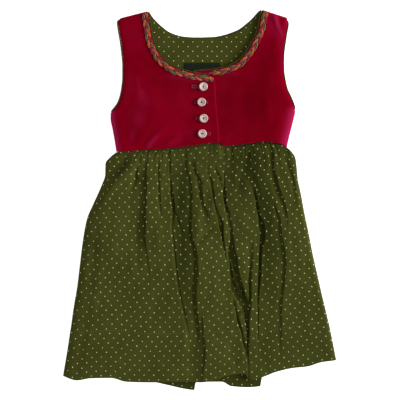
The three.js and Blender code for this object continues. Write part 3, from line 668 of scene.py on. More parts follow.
# Cuts one mesh out of another and keeps the result as a plain mesh.
def cutOut(piece, cutter):
    tool = makeObject("cutter", cutter["points"], cutter["faces"])
    change = piece.modifiers.new("cut", "BOOLEAN")
    change.operation, change.solver, change.object = "DIFFERENCE", "EXACT", tool
    result = bpy.data.meshes.new_from_object(piece.evaluated_get(bpy.context.evaluated_depsgraph_get()))
    shape = bmesh.new()
    shape.from_mesh(result)
    bmesh.ops.remove_doubles(shape, verts=shape.verts, dist=0.002 * mm)
    bmesh.ops.dissolve_degenerate(shape, edges=shape.edges, dist=0.002 * mm)
    shape.to_mesh(result)
    shape.free()
    old = piece.data
    piece.modifiers.clear()
    piece.data = result
    piece.data.name = piece.name
    bpy.data.meshes.remove(old)
    oldTool = tool.data
    bpy.data.objects.remove(tool)
    bpy.data.meshes.remove(oldTool)


closure = dict(
    # x, y, middle of the buttonhole, turn of the button's two holes
    buttons=[(5.5, 164, -2, 90), (3, 141.5, 2, 100), (6, 118, 4, 85), (4, 96, 6.5, 24)],
    slotLength=18, slotWidth=2.8, workedEdge=1.3, radius=6.2, holeRadius=0.9, holeSpacing=2.1, dish=1.5,
)


# How far the lower front's waist edge runs below the top one's; the step closes towards the side.
def underlapStep(x):
    return bodice["underlapDrop"] * (1 - ease((x - 30) / 55))


def makeBodice():
    # The covered part of the lower panel stops short of the seam; beyond the top one it runs below it.
    drop = lambda x: mix(-2, underlapStep(x), ease((x - 28) / 3))
    fronts = [("right", rightOuter, rightInner, None), ("left", leftOuter, leftInner, drop)]
    for side, outer, inner, lower in fronts:
        surface = frontPanel(side, outer, inner, lower)
        # Painted sheen and painted shade on the velvet, kept on each point.
        paintedSheenAndShade = paintedSheenAndShadeAt(surface["points"][:, 0], surface["points"][:, 1])
        piece = clothPiece("front_" + side, surface, velvetWall, finishes["velvet"], dict(paintedSheenAndShade=paintedSheenAndShade))
        if side == "right":
            cutOut(piece, joined([slotCutter(hole, y) for _, y, hole, _ in closure["buttons"]]))
        place(piece, "velvet", "bodice_front_" + side)
    back = sewn(backPanel(rightOuter, rightBackInner), backPanel(leftOuter, leftBackInner))
    piece = clothPiece("back_bodice", back, velvetWall, finishes["velvet"])
    place(piece, "velvet", "bodice_back")


lining = dict(z=2.2, wall=1.0, inset=4.6, dotShift=(6.2, 1.4))


def liningHalf(outer, inner):
    height = lambda x, y, distance, at: lining["z"] + rumpled(x, y, 0.06, 8)
    return panelSurface(outer, inner, backNeck, height, rows=70, columns=60, inset=lining["inset"],
                        first=0.3, last=shoulder - 0.45)


def makeLining():
    both = sewn(liningHalf(rightOuter, rightBackInner), liningHalf(leftOuter, leftBackInner))
    both["uv"] = both["points"][:, :2] + np.array(lining["dotShift"])
    piece = clothPiece("back_lining", both, lining["wall"], finishes["cotton"])
    place(piece, "cotton", "lining_back")


makeBodice()
makeLining()
print("bodice and lining made")


# ---- skirt
skirt = dict(
    rows=104, columns=456, fineColumns=1600, wall=1.0, hemWall=1.8, hemDeep=(70, 60), cutWidth=435,
    hemHalf=198, seamZ=6.4, crownZ=10.2, crownShare=0.2, hemZ=7.0, floorZ=3.5, rightRoll=15, leftRoll=7,
    tuck=2.6, tuckZ=4.0, gap=1.0, rippleWave=5.6, ripple=0.35, rippleUneven=0.25,
)
# The side edges: share of the way down, x at the wearer's right and at the left.
skirtSides = curvesOf("right left", [
    (0, -120.5, 126.5), (0.02, -129, 133.5), (0.05, -136.5, 139), (0.1, -137, 141), (0.15, -142.5, 142.5),
    (0.22, -152.5, 147), (0.3, -163.5, 151.5), (0.4, -169.5, 158), (0.5, -173.5, 164), (0.6, -177.5, 171),
    (0.7, -183, 178), (0.8, -187.5, 185.5), (0.9, -192.5, 192), (1, -198, 198),
])
frontHemAt = smoothCurve(*zip(*[
    (-198, -255.5), (-178, -261.5), (-158, -258.5), (-128.5, -258), (-105.5, -263.5), (-72, -264.5),
    (-22, -263.5), (0.5, -264.5), (25, -260), (37.5, -255), (64.5, -252), (71.5, -261), (92, -256.5),
    (110, -249.5), (136.5, -243.5), (155.5, -241.5), (178, -235), (198, -232.5),
]))
backHemAt = smoothCurve(*zip(*[
    (-196.5, -254), (-144.5, -256.5), (-105.5, -261), (-72, -264), (-43, -270), (-25.5, -274),
    (-7.5, -276.5), (-5.5, -265), (32.5, -264.5), (46.5, -271), (69.5, -272.5), (88.5, -271),
    (91.5, -254), (135.5, -241.5), (174.5, -233.5), (197, -231.5),
]))

# Folds that run down the front. Each row is y, the two sides of the fold's valley, its depth, and the
# heights of the lips on the wearer's right and left of it. wall is how wide each side of the valley
# is, reach how far each lip runs out, lean how far a steep side hangs over the valley.
frontFolds = dict(
    leftSide=dict(reach=(30, 50), wall=(18, 18), lean=0, rows=[
        (70, -96.5, -95, 0, -0.32, 0.32), (61, -100, -98.5, 0, -1.42, 0.73),
        (51, -107.5, -106, 0, -2.62, 1.15), (42, -115.5, -114, 0, -3.06, 1.36),
        (35, -126.5, -125, 0, -3.06, 1.36), (20, -133.5, -132, 0, -3.06, 1.36),
        (6, -142, -141, 0, -1.79, 1.26), (-17, -147.5, -146, 0, -1.52, 0.94),
        (-46, -149, -147.5, 0, -1.52, 0.84), (-90, -151.5, -150, 0, -1.38, 0.84),
        (-145, -159.5, -158, 0, -1.24, 0.73), (-203, -167.5, -166, 0, -1.1, 0.63),
        (-261, -175, -173.5, 0, -0.97, 0.52)]),
    leftMain=dict(reach=(14, 36), wall=(11, 1.4), lean=1.1, rows=[
        (75, -77.5, -73.5, 0.3, 0, 0.17), (61, -80.5, -74.5, 1.1, 0, 0.78),
        (46, -84, -76, 1.71, -0.2, 1.3), (29, -88.5, -76.5, 1.96, -0.4, 1.74),
        (0, -87.5, -76.5, 2.08, -0.4, 1.91), (-26, -90.5, -77.5, 1.96, -0.4, 1.74),
        (-46, -94, -78, 1.84, -0.3, 1.57), (-70, -95.5, -76.5, 1.47, -0.2, 1.13),
        (-90, -93.5, -73.5, 0.79, 0, 0.52), (-116, -89, -72, 0.3, 0, 0.08), (-145, -87.5, -72, 0, 0, 0)]),
    notch=dict(reach=(8, 8), wall=(4, 1.8), lean=0.5, rows=[
        (51, -92, -90, 0, 0, 0), (41, -94, -89.5, 2.6, 0, 0.5), (33, -95.5, -90, 2.2, 0, 0.4),
        (25, -96.5, -91.5, 0.8, 0, 0.1), (12, -97.5, -92, 0, 0, 0)]),
    leftThin=dict(reach=(8, 8), wall=(2.6, 2), lean=0.4, rows=[
        (61, -60.5, -58.5, 0.16, 0, 0), (49, -61, -58, 1.36, -0.2, 0.3),
        (29, -60.5, -57.5, 1.6, -0.3, 0.4), (7, -60.5, -56.5, 1.6, -0.3, 0.4),
        (-9, -59, -55.5, 1.2, -0.2, 0.3), (-29, -57.5, -54.5, 0.24, 0, 0), (-41, -56.5, -54.5, 0, 0, 0)]),
    recessEdge=dict(reach=(12, 34), wall=(1.4, 2.4), lean=1.3, rows=[
        (78, -47, -44, 0.3, 0.02, -0.09), (61, -46, -42, 1.2, 0.06, -0.34),
        (51, -45.5, -41, 2, 0.09, -0.51), (33, -45, -41, 1.2, 0.1, -0.85),
        (14, -43.5, -39, 3, 0.15, -1.27), (3, -42.5, -37, 4.2, 0.17, -1.87),
        (-12, -41, -35, 4.2, 0.17, -2.04), (-23, -41.5, -36.5, 2.4, 0.17, -2.04),
        (-44, -43, -39, 1, 0.17, -2.04), (-62, -41, -35.5, 1.6, 0.17, -2.04),
        (-87, -39, -33.5, 1.8, 0.17, -2.12), (-116, -35.5, -30, 1.8, 0.15, -2.12),
        (-145, -30, -25, 1.6, 0.14, -1.87), (-171, -24, -19, 1.5, 0.09, -1.53),
        (-191, -20.5, -15.5, 0.7, 0.04, -0.85), (-220, -18.5, -14, 0, 0, -0.17)]),
    recessCrease=dict(reach=(5, 5), wall=(1.8, 1.8), lean=0.3, rows=[
        (-9, -39, -37, 0, 0, 0), (-20, -35, -33, 1.2, 0, 0), (-32, -31.5, -29.5, 1.2, 0, 0),
        (-42, -27.5, -25.5, 0.9, 0, 0), (-55, -24, -22, 0, 0, 0)]),
    middle=dict(reach=(10, 44), wall=(5, 1.6), lean=0.8, rows=[
        (65, -23.5, -19.5, 0.23, 0, 0), (43, -21.5, -17.5, 0.91, -0.08, 0.38),
        (32, -19, -13.5, 1.21, -0.12, 0.57), (7, -16, -10.5, 1.28, -0.16, 0.76),
        (-12, -15, -11, 1.06, -0.2, 1.14), (-29, -14, -11.5, 1.52, -0.32, 1.9),
        (-51, -13.5, -10.5, 1.79, -0.4, 2.28), (-65, -10, -6, 2.15, -0.44, 2.47),
        (-84, -7, -2.5, 3.05, -0.52, 2.85), (-109, -9, -1.5, 3.05, -0.6, 3.04),
        (-131, -10, -4, 2.69, -0.6, 2.85), (-152, -8.5, -4, 2.24, -0.52, 2.66),
        (-174, -6.5, -1.5, 1.79, -0.4, 2.09), (-191, -5, 0, 1.08, -0.24, 1.14),
        (-210, -4, 0.5, 0, 0, 0.19)]),
    hemTrough=dict(reach=(16, 44), wall=(24, 2.4), lean=0.6, rows=[
        (-162, -4, 3, 0.21, 0, 0.2), (-181, -7.5, 5, 1.66, -0.3, 1.39), (-196, -11, 6, 2.28, -0.5, 1.98),
        (-215, -15.5, 8.5, 2.59, -0.6, 2.38), (-232, -16, 8, 2.38, -0.6, 2.18),
        (-249, -14.5, 5.5, 1.66, -0.4, 1.58), (-267, -13, 3.5, 1.03, -0.2, 0.99)]),
    slanting=dict(reach=(10, 8), wall=(2.2, 1.6), lean=0.8, rows=[
        (61, -14.5, -11, 0.34, 0, 0), (51, -13, -6.5, 1.87, 0.2, 0.3), (42, -9.5, -4.5, 2.04, 0.2, 0.5),
        (32, -5.5, 1, 2.72, 0.2, 0.8), (20, -3, 4, 3.06, 0.2, 1), (9, -1, 4, 2.72, 0.2, 1),
        (-4, 1, 6, 1.7, 0, 0.8), (-16, 3.5, 10.5, 1.36, 0, 0.5), (-25, 5, 13.5, 0.77, 0, 0.2),
        (-36, 6.5, 15, 0, 0, 0)]),
    slit=dict(reach=(10, 8), wall=(1.7, 1.9), lean=1, rows=[
        (49, 9.5, 12, 0.33, 0.07, 0), (35, 12.5, 15.5, 1.98, 0.56, -0.2), (23, 15.5, 19, 2.64, 0.7, -0.3),
        (10, 17.5, 21, 3.3, 0.77, -0.3), (-4, 20, 23, 2.64, 0.77, -0.3),
        (-17, 22.5, 26.5, 2.2, 0.84, -0.3), (-28, 25, 32, 3.3, 0.91, -0.3),
        (-35, 26.5, 35, 5.5, 0.98, -0.2), (-45, 29, 35, 6.82, 1.05, 0), (-55, 31, 35, 6.38, 1.05, 0),
        (-65, 33, 36.5, 3.96, 0.91, 0), (-75, 34.5, 37.5, 1.54, 0.63, 0), (-87, 36, 38.5, 0.22, 0.28, 0),
        (-102, 38.5, 39.5, 0, 0, 0)]),
    shortSlant=dict(reach=(6, 6), wall=(2, 2), lean=0.4, rows=[
        (48, 19.5, 22.5, 0.3, 0, 0), (38, 24, 27.5, 1.9, 0.2, 0), (29, 27.5, 31, 1.7, 0.2, 0),
        (19, 30, 33, 0.6, 0, 0), (9, 32.5, 34.5, 0, 0, 0)]),
    deep=dict(reach=(16, 36), wall=(1.5, 1.5), lean=1.0, rows=[
        (65, 32, 35.5, 0, 0, 0), (43, 33.5, 35.5, 0.2, 0, -0.2), (26, 34, 37, 1.8, 0.3, -1.6),
        (12, 33, 37.5, 4, 0.3, -1.8), (0, 34, 38.5, 5.5, 0.3, -2), (-12, 36.5, 41, 5, 0.3, -1.6),
        (-23, 38, 43.5, 1.4, -0.1, -0.4), (-38, 41, 47, 1.4, -0.1, -0.4), (-55, 44, 49.5, 3, -0.3, 0.3),
        (-67, 42, 51, 5.75, -0.34, 0.8), (-77, 40.5, 53, 6.9, -0.26, 1), (-93, 43, 55, 7.13, -0.22, 1),
        (-110, 44, 59, 7.36, -0.2, 1), (-128, 45, 64, 7.36, -0.2, 1.1), (-139, 50, 67, 7.36, -0.22, 1.2),
        (-149, 56.5, 71, 7.59, -0.26, 1.5), (-161, 62, 73, 7.82, -0.28, 1.7),
        (-173, 65, 72.5, 8.05, -0.3, 1.8), (-189, 67, 72.5, 8.05, -0.32, 1.6),
        (-206, 67.5, 72, 6.44, -0.32, 1.2), (-220, 68.5, 71.5, 3.52, 0.32, 0.6),
        (-241, 69.5, 72, 3.08, 0.32, 0), (-270, 70, 73, 2.64, 0.32, -0.3)]),
    branch=dict(reach=(7, 5), wall=(2.4, 1.8), lean=0.5, rows=[
        (-46, 74.5, 77.5, 0, 0, 0), (-64, 74, 77.5, 0.42, 0, 0.21), (-81, 73, 77.5, 0.59, 0, 0.35),
        (-99, 72, 76, 1.76, -0.2, 0.49), (-116, 70, 75, 3.68, -0.4, 0.63),
        (-133, 71, 75, 4.14, -0.4, 0.7), (-149, 71, 75, 3.91, -0.2, 0.7), (-164, 71.5, 74, 1.15, 0, 0.35),
        (-174, 71.5, 73.5, 0, 0, 0)]),
    below=dict(reach=(9, 6), wall=(2.2, 2.2), lean=0.7, rows=[
        (-139, 45.5, 48, 0, 0, 0), (-149, 48, 51, 2.1, 0.36, 0), (-160, 51, 53.5, 3.3, 0.54, 0.2),
        (-170, 53, 56, 4.2, 0.6, 0.3), (-180, 55, 60, 4.5, 0.6, 0.2), (-191, 59, 62.5, 3.3, 0.54, 0.2),
        (-205, 61.5, 64.5, 3, 0.48, 0), (-216, 64, 67.5, 2.7, 0.36, 0), (-228, 66, 68.5, 0.9, 0.12, 0),
        (-239, 68, 70, 0, 0, 0)]),
    secondUpper=dict(reach=(14, 40), wall=(9, 6), lean=0, rows=[
        (78, 64.5, 73, 0.15, 0, 0.07), (64, 63.5, 73, 0.6, 0, 0.28), (51, 63, 74, 1.2, 0, 0.56),
        (38, 65, 77.5, 1.7, 0, 0.84), (26, 69.5, 83, 1.9, 0, 1.05), (13, 74.5, 87, 1.7, 0, 1.05),
        (0, 79, 89, 0.9, 0, 0.7), (-12, 82, 90.5, 0.25, 0, 0.28), (-22, 83, 90.5, 0, 0, 0)]),
    second=dict(reach=(12, 32), wall=(1.3, 1.8), lean=1.2, rows=[
        (20, 75.5, 79, 0, 0, 0), (10, 77.5, 82, 2.5, 0.1, -0.6), (0, 80, 84.5, 5, 0.2, -1.4),
        (-15, 82, 86.5, 7.5, 0.25, -1.9), (-25, 84, 89, 8, 0.3, -2.1), (-32, 84.5, 92.5, 8, 0.3, -2.1),
        (-44, 85.5, 95, 8, 0.3, -2.1), (-55, 86, 95, 8, 0.3, -2.1), (-67, 85.5, 91.5, 8, 0.3, -2.2),
        (-80, 85, 90, 7.5, 0.3, -2.4), (-93, 84.5, 90, 7.5, 0.3, -2.4), (-106, 84, 89.5, 7, 0.3, -2.4),
        (-119, 83.5, 88, 5.5, 0.3, -2.2), (-132, 83, 87, 4, 0.3, -2.2), (-145, 82.5, 86, 3, 0.25, -2),
        (-167, 83, 86, 2.2, 0.2, -1.6), (-189, 82.5, 85.5, 1.2, 0.1, -1),
        (-215, 82.5, 84.5, 0.1, 0, -0.3), (-235, 82, 84.5, 0, 0, 0)]),
    rightUpper=dict(reach=(14, 30), wall=(8, 1.9), lean=0.8, rows=[
        (78, 100.5, 104, 0.55, 0, 0.17), (61, 103, 107.5, 2.02, -0.1, 0.59),
        (46, 104, 107.5, 2.21, -0.2, 0.76), (35, 104.5, 111.5, 2.94, -0.3, 1.01),
        (20, 106.5, 115, 2.94, -0.35, 1.18), (7, 111.5, 119.5, 2.76, -0.35, 1.18),
        (-6, 117.5, 124, 2.21, -0.3, 1.01), (-20, 122, 126.5, 1.38, -0.15, 0.59),
        (-38, 124, 128, 0.37, 0, 0.17), (-55, 125.5, 128, 0, 0, 0)]),
    rightShort=dict(reach=(6, 6), wall=(2.4, 1.8), lean=0.3, rows=[
        (-2, 105.5, 108.5, 0, 0, 0), (-15, 108.5, 111.5, 1.9, 0, 0.2), (-23, 111, 114, 1.4, 0, 0.2),
        (-35, 113.5, 116.5, 0.3, 0, 0), (-44, 115, 117.5, 0, 0, 0)]),
    rightLower=dict(reach=(12, 38), wall=(9, 1.6), lean=0.9, rows=[
        (-17, 113, 115.5, 0.11, -0.05, 0.32), (-32, 114, 117.5, 0.65, -0.22, 1.19),
        (-51, 116.5, 119.5, 0.92, -0.29, 1.73), (-70, 118, 123, 1.35, -0.31, 1.84),
        (-90, 119.5, 125.5, 1.62, -0.34, 1.84), (-110, 119, 124, 1.62, -0.34, 1.73),
        (-131, 118, 122, 1.4, -0.31, 1.51), (-151, 115.5, 119.5, 1.13, -0.26, 1.3),
        (-171, 114, 119, 1.03, -0.24, 0.97), (-194, 113, 119, 0.86, -0.19, 0.76),
        (-212, 114, 118, 0.38, -0.1, 0.32), (-232, 115, 118, 0, 0, 0)]),
    rightSide=dict(reach=(8, 8), wall=(6, 4), lean=0, rows=[
        (67, 119, 124.5, 0.3, 0, 0), (52, 124, 129.5, 1.7, 0, 0.3), (41, 128, 133.5, 1.9, 0, 0.3),
        (27, 131.5, 137, 2, 0, 0.3), (14, 133, 138.5, 1.4, 0, 0.2), (-2, 134.5, 140, 0.4, 0, 0),
        (-17, 137, 141, 0, 0, 0)]),
)
# Shorter creases and swellings of the front: from x, y to x, y, height and half width.
frontCrumples = [
    (-91, 53.5, -135.5, 10, 1.9, 7), (-105.5, 62.5, -134, 30, -1.0, 6),
    (-112, 48, -152, -12, -1.6, 2.8), (-88, 58, -93.5, 32, -1.3, 3.2),
    (-93.5, 32, -101, 10, -1.4, 3.6), (16.5, -42, -4, -62.5, -2.4, 2.4), (-4, -17.5, -2.5, -49.5, 1.3, 5),
    (58.5, -17.5, 73, -52.5, 1.1, 9), (79, -58, 79, -171, 0.3, 3.2), (-127, -123.5, -104, -171, -1.4, 18),
    (128, -22, 126.5, -80, 1.0, 5), (-118.5, -17.5, -127, -87, 1.3, 14), (26, 82, 27, 66, 1.3, 4),
    (45, -88, 51, -112, 4.5, 2.2), (51, -116, 63, -142, 4.5, 1.8), (40.5, -18, 47, -55, -1.2, 4),
    (72, -62, 71, -98, -1.5, 3.5), (34, 75, 35, 60, -1.2, 3), (46, 76, 47, 50, -1.1, 3),
    (62, 50, 66, 30, -1.2, 3), (71, 76, 71, 56, -1.4, 3), (91, 64, 93, 42, -1.2, 3),
    (99, 76, 105, 54, -1.2, 3), (-50, -120, -66, -175, -0.8, 14), (40, -190, 30, -240, 0.8, 12),
    (-140, -200, -120, -240, 0.8, 12),
    (150, -120, 160, -190, 0.9, 10), (100, -200, 104, -235, 0.8, 9), (20, -90, 24, -150, 1.0, 10),
    (-60, -40, -58, -110, 0.8, 7), (-20, 20, -24, -60, 0.5, 6), (136, -20, 146, -90, 0.7, 6),
    (60, 40, 56, 5, -1.2, 4), (50, 60, 52, 25, 0.9, 5), (90, 60, 94, 20, 0.8, 6),
    (-25, 60, -28, 20, -0.9, 4), (44, -205, 52, -238, -0.9, 4), (60, -150, 50, -185, -1.6, 2.4),
]
# Painted shade on the front skirt, among the gathers: x, y, half width, half height, amount.
paintedShadePatches = [
    (64, 44, 26, 42, 0.62), (88, 66, 30, 22, 0.3), (100, -60, 12, 75, 0.45), (97, 5, 13, 45, 0.4),
    (-22, -70, 12, 85, 0.55), (-22, 20, 12, 40, 0.45), (-86, -25, 9, 55, 0.4), (12, -12, 8, 26, 0.4),
    (-118, 52, 14, 22, 0.35), (104, -190, 14, 40, 0.25), (178, -140, 26, 90, 0.25),
    (132, 40, 10, 40, 0.2),
]
# Small gathers sewn in at the waist: x at the seam, depth and how far down it runs.
frontGathers = [
    (-112, 1.4, 30), (-104, 1.0, 44), (-97, 1.7, 36), (-91, 1.2, 22), (-84, 1.5, 52), (-76.5, 1.9, 60),
    (-69.5, 1.0, 24), (-64, 1.4, 34), (-58.5, 1.7, 48), (-52, 1.1, 22), (-47, 1.3, 30), (-41, 2.0, 62),
    (-34.5, 1.2, 26), (-29, 1.6, 40), (-22.5, 1.1, 28), (-17, 1.8, 54), (-10.5, 1.2, 24), (-5, 1.6, 38),
    (1, 1.1, 22), (6.5, 1.5, 34), (12.5, 1.8, 50), (18, 1.2, 20), (37, 1.0, 24), (43, 1.6, 44),
    (48.5, 1.1, 22), (54, 1.4, 34), (60.5, 1.9, 50), (66, 1.2, 26), (71.5, 1.8, 56), (78, 1.1, 24),
    (84, 1.5, 38), (90.5, 1.2, 26), (96.5, 1.7, 46), (103, 1.9, 58), (109, 1.1, 24), (115, 1.5, 34),
    (121, 1.0, 22),
]


# Sum of all folds: a lip fades along its reach, a valley is flat between two smooth sides. Returns the
# heights and the sideways lean of the steep sides.
# A side of a valley narrower than steepWall leans over it and has its columns crowded.
foldShape = dict(steepWall=3, lipFade=1.15, edgeSharp=0.7, leanReach=2.2, crowding=3.5, crowdReach=2.4)


def folded(folds, x, y):
    k = foldShape
    height, lean = np.zeros_like(x), np.zeros_like(x)
    for fold in folds.values():
        at = curvesOf("start end deep right left", fold["rows"])
        places = [row[0] for row in fold["rows"]]
        inside = (y >= min(places)) & (y <= max(places))
        start, end, deep = at["start"](y), at["end"](y), at["deep"](y)
        right, left = at["right"](y), at["left"](y)
        (firstWall, lastWall), (firstReach, lastReach) = fold["wall"], fold["reach"]
        onRight = right * (1 - np.clip((start - x) / firstReach, 0, 1)) ** k["lipFade"]
        onLeft = left * (1 - np.clip((x - end) / lastReach, 0, 1)) ** k["lipFade"]
        step = ease((x - (start + end) / 2) / np.maximum(end - start, min(fold["wall"])) + 0.5)
        valley = deep * ease((x - start) / firstWall + 0.5) * ease((end - x) / lastWall + 0.5)
        height += inside * (mix(onRight, onLeft, step) - valley)
        strength = fold["lean"] * np.clip((deep + np.abs(left - right)) / 3, 0, 1)
        for side, wall in ((start, firstWall), (end, lastWall)):
            if wall < k["steepWall"]:
                sharp = np.tanh((x - side) / k["edgeSharp"])
                lean -= inside * strength * sharp * bell((x - side) / k["leanReach"])
    return height, lean


# Moves the columns of a grid along its rows so that they crowd at the steep sides of the folds.
def crowded(folds, x, y):
    k = foldShape
    density = np.ones_like(x)
    for fold in folds.values():
        at = curvesOf("start end deep right left", fold["rows"])
        places = [row[0] for row in fold["rows"]]
        strength = np.clip((at["deep"](y) + np.abs(at["left"](y) - at["right"](y))) / 2, 0, 1)
        strength = strength * ease((y - min(places)) / 20) * ease((max(places) - y) / 20)
        for key, wall in zip(("start", "end"), fold["wall"]):
            if wall < k["steepWall"]:
                density += k["crowding"] * strength * bell((x - at[key](y)) / k["crowdReach"])
    run = np.cumsum((density[:, 1:] + density[:, :-1]) / 2 * np.diff(x, axis=1), 1)
    run = np.concatenate([np.zeros((len(x), 1)), run], 1)
    return np.stack([np.interp(np.linspace(0, r[-1], skirt["columns"]), r, row) for r, row in zip(run, x)])


# Height of the gathers: a groove for each, which fades out downwards, in cloth raised by the seam.
def gathered(gathers, share, down, width):
    height = np.zeros_like(share + down)
    for x, deep, length in gathers:
        centre = (x - waistRight) / (waistLeft - waistRight)
        deep = 1.5 * max(deep - 0.75, 0.1) ** 1.3
        fade = np.clip(1 - down / length, 0, 1) ** 1.4
        height -= deep * fade * bell((share - centre) * width / 2.1)
    return height + 0.8 * np.clip(1 - down / 24, 0, 1)


# Lengths along the cloth: the distance run along each row from its middle, stretched to the cut width
# only where the cloth is gathered, and the distance up each column from the hem.
def threadLengths(points, cutWidth):
    across = lengths(np.diff(points, axis=1))[..., 0]
    u = np.concatenate([np.zeros((len(points), 1)), np.cumsum(across, 1)], 1)
    gathers = ease(1.1 - np.linspace(0, 5, len(u)))[:, None] * 0.2
    u = (u - u[:, -1:] / 2) * mix(1, np.maximum(1, cutWidth / u[:, -1:]), gathers)
    down = lengths(np.diff(points[..., 1:], axis=0))[..., 0]
    down = down.mean(1, keepdims=True) * 0.7 + down * 0.3
    v = np.concatenate([np.cumsum(down[::-1], 0)[::-1], np.zeros((1, points.shape[1]))], 0)
    return np.stack([u, v], -1)


def frontSeamAt(x):  # it steps down where the lower front takes over from the top one
    return waistAt(x) - underlapStep(x) * ease((x - 29) / 1.5)


def skirtFrontSurface():
    k = skirt
    t = np.linspace(0, 1, k["rows"])[:, None] ** 1.12
    right, left = skirtSides["right"](t), skirtSides["left"](t)
    width = left - right
    waistWidth = waistLeft - waistRight
    x = mix(right, left, np.linspace(0, 1, k["fineColumns"])[None, :])
    x = crowded(frontFolds, x, mix(waistAt(x), frontHemAt(x), t))
    share = (x - right) / width
    edge = np.minimum(x - right, left - x)
    tucked = ease(np.minimum(share, 1 - share) * waistWidth / 10)
    top = frontSeamAt(mix(waistRight, waistLeft, share)) - k["gap"] + (k["tuck"] + k["gap"]) * tucked
    y = mix(top, frontHemAt(mix(-k["hemHalf"], k["hemHalf"], share)), t)
    down = frontSeamAt(x) - y
    crown = mix(mix(k["seamZ"], k["crownZ"], ease(t / k["crownShare"])), k["hemZ"],
                ease((t - 0.55) / 0.45))
    height, lean = folded(frontFolds, x, y)
    height += creased(frontCrumples, x, y)
    height += gathered(frontGathers, share, down, width) * ease((down + 1.5) / 4)
    ripple = np.sin(share * waistWidth / k["rippleWave"] * 2 * np.pi + 2.2 * np.sin(share * 21))
    ripple = ripple * (k["ripple"] + k["rippleUneven"] * np.sin(share * 47))
    height += ripple * ease((share - 0.05) / 0.25) * bell((down - 5) / 9)
    height += rumpled(x, y, 0.16, 3) * ease(down / 20) + rumpled(x, y, 0.22, 11, 36, 80) * ease(down / 60)
    free = crown + height * ease(down / 8 + 0.25)
    floor = k["floorZ"]
    free = floor + (free - floor + np.sqrt((free - floor) ** 2 + 0.25)) / 2
    free = mix(k["tuckZ"], free, ease(down / 3.5))
    roll = np.where(share < 0.5, k["rightRoll"], k["leftRoll"])
    z = sideSeamZ + (free - sideSeamZ) * rollOver(edge / roll)
    x = x + lean * ease(edge / 8)
    return np.stack([x, y, z], -1), down


def makeSkirtFront():
    k = skirt
    points, down = skirtFrontSurface()
    uv = threadLengths(points, k["cutWidth"])
    aboveHem = uv[..., 1] - mix(*k["hemDeep"], ease((points[..., 0] - 10) / 90))
    wall = mix(k["hemWall"], k["wall"], ease((aboveHem + 1.5) / 3))
    points[..., 2] -= 0.35 * bell(aboveHem / 1.4)
    # Painted shade: the patches among the gathers, and a band just below the waist seam under the velvet's
    # edge.
    paintedShade = patched(paintedShadePatches, points[..., 0], points[..., 1]) + 0.4 * bell(down / 5)
    paintedShade = np.clip(paintedShade, 0, 1).ravel()
    piece = clothPiece("front_skirt", gridSurface(points, uv), wall.ravel(), finishes["cotton"],
                       dict(paintedShade=paintedShade))
    place(piece, "cotton", "skirt_front")
    stitches = hemStitches(points, aboveHem)


# The hem's stitching: a short thread on the surface every few millimetres along the line where the
# turned-up cloth ends.
hemStitch = dict(every=3.4, length=1.7, radius=0.22, lift=0.55, arch=0.175, astray=0.25)


def hemStitches(points, aboveHem):
    k = hemStitch
    column = np.arange(points.shape[1])
    row = (aboveHem > 0).sum(0) - 1
    share = aboveHem[row, column] / (aboveHem[row, column] - aboveHem[row + 1, column])
    line = mix(points[row, column], points[row + 1, column], share[:, None])[6:-6]
    along = np.concatenate([[0], np.cumsum(lengths(np.diff(line, axis=0)).ravel())])
    starts = np.arange(2, along[-1] - 3, k["every"])
    parts = []
    for i, start in enumerate(starts):
        s = start + np.linspace(0, k["length"], 5)
        spot = np.stack([np.interp(s, along, line[:, axis]) for axis in range(3)], 1)
        spot[:, 2] += k["lift"] + skirt["wall"] * 0.25 + k["arch"] * np.sin(np.linspace(0, np.pi, 5))
        spot[:, 1] += k["astray"] * math.sin(i * 1.7)
        parts.append(bar(spot, (0, 0, 1), ellipse(k["radius"], k["radius"], 5), roundEnd=0.3))
    return addPart("hem_stitches", joined(parts), "greenThread", "thread")


backSkirt = dict(rows=100, columns=236, gap=0.6, ridge=0.6, highest=1.6, paintedShade=0.4)
# Ridges of the back: each row is y, x, height and half width.
backFolds = [
    [(66, -88, 0.8, 3), (-10, -108, 2.0, 5), (-94, -120, 2.2, 6), (-180, -128, 1.2, 7),
     (-256, -134, 0.3, 8)],
    [(68, -52, 0.8, 3), (-10, -58, 2.2, 4), (-94, -66, 1.4, 5), (-180, -70, 0.5, 6), (-258, -74, 0.2, 7)],
    [(70, -20, 0.8, 3), (-10, -18, 1.8, 3), (-94, -12, 2.2, 3), (-180, -9, 1.6, 2.4), (-270, -6.5, 0.5, 2)],
    [(74, 18, 0.8, 3), (-10, 22, 2.2, 4), (-94, 26, 1.1, 5), (-180, 30, 0.3, 6), (-262, 32, 0, 6)],
    [(76, 52, 0.8, 3), (-10, 62, 1.8, 3), (-94, 74, 2.2, 3), (-180, 84, 1.8, 2.4), (-270, 90, 0.7, 2)],
    [(76, 88, 0.8, 3), (-10, 104, 2.2, 5), (-94, 114, 1.8, 6), (-180, 126, 0.7, 7), (-250, 132, 0.3, 8)],
]


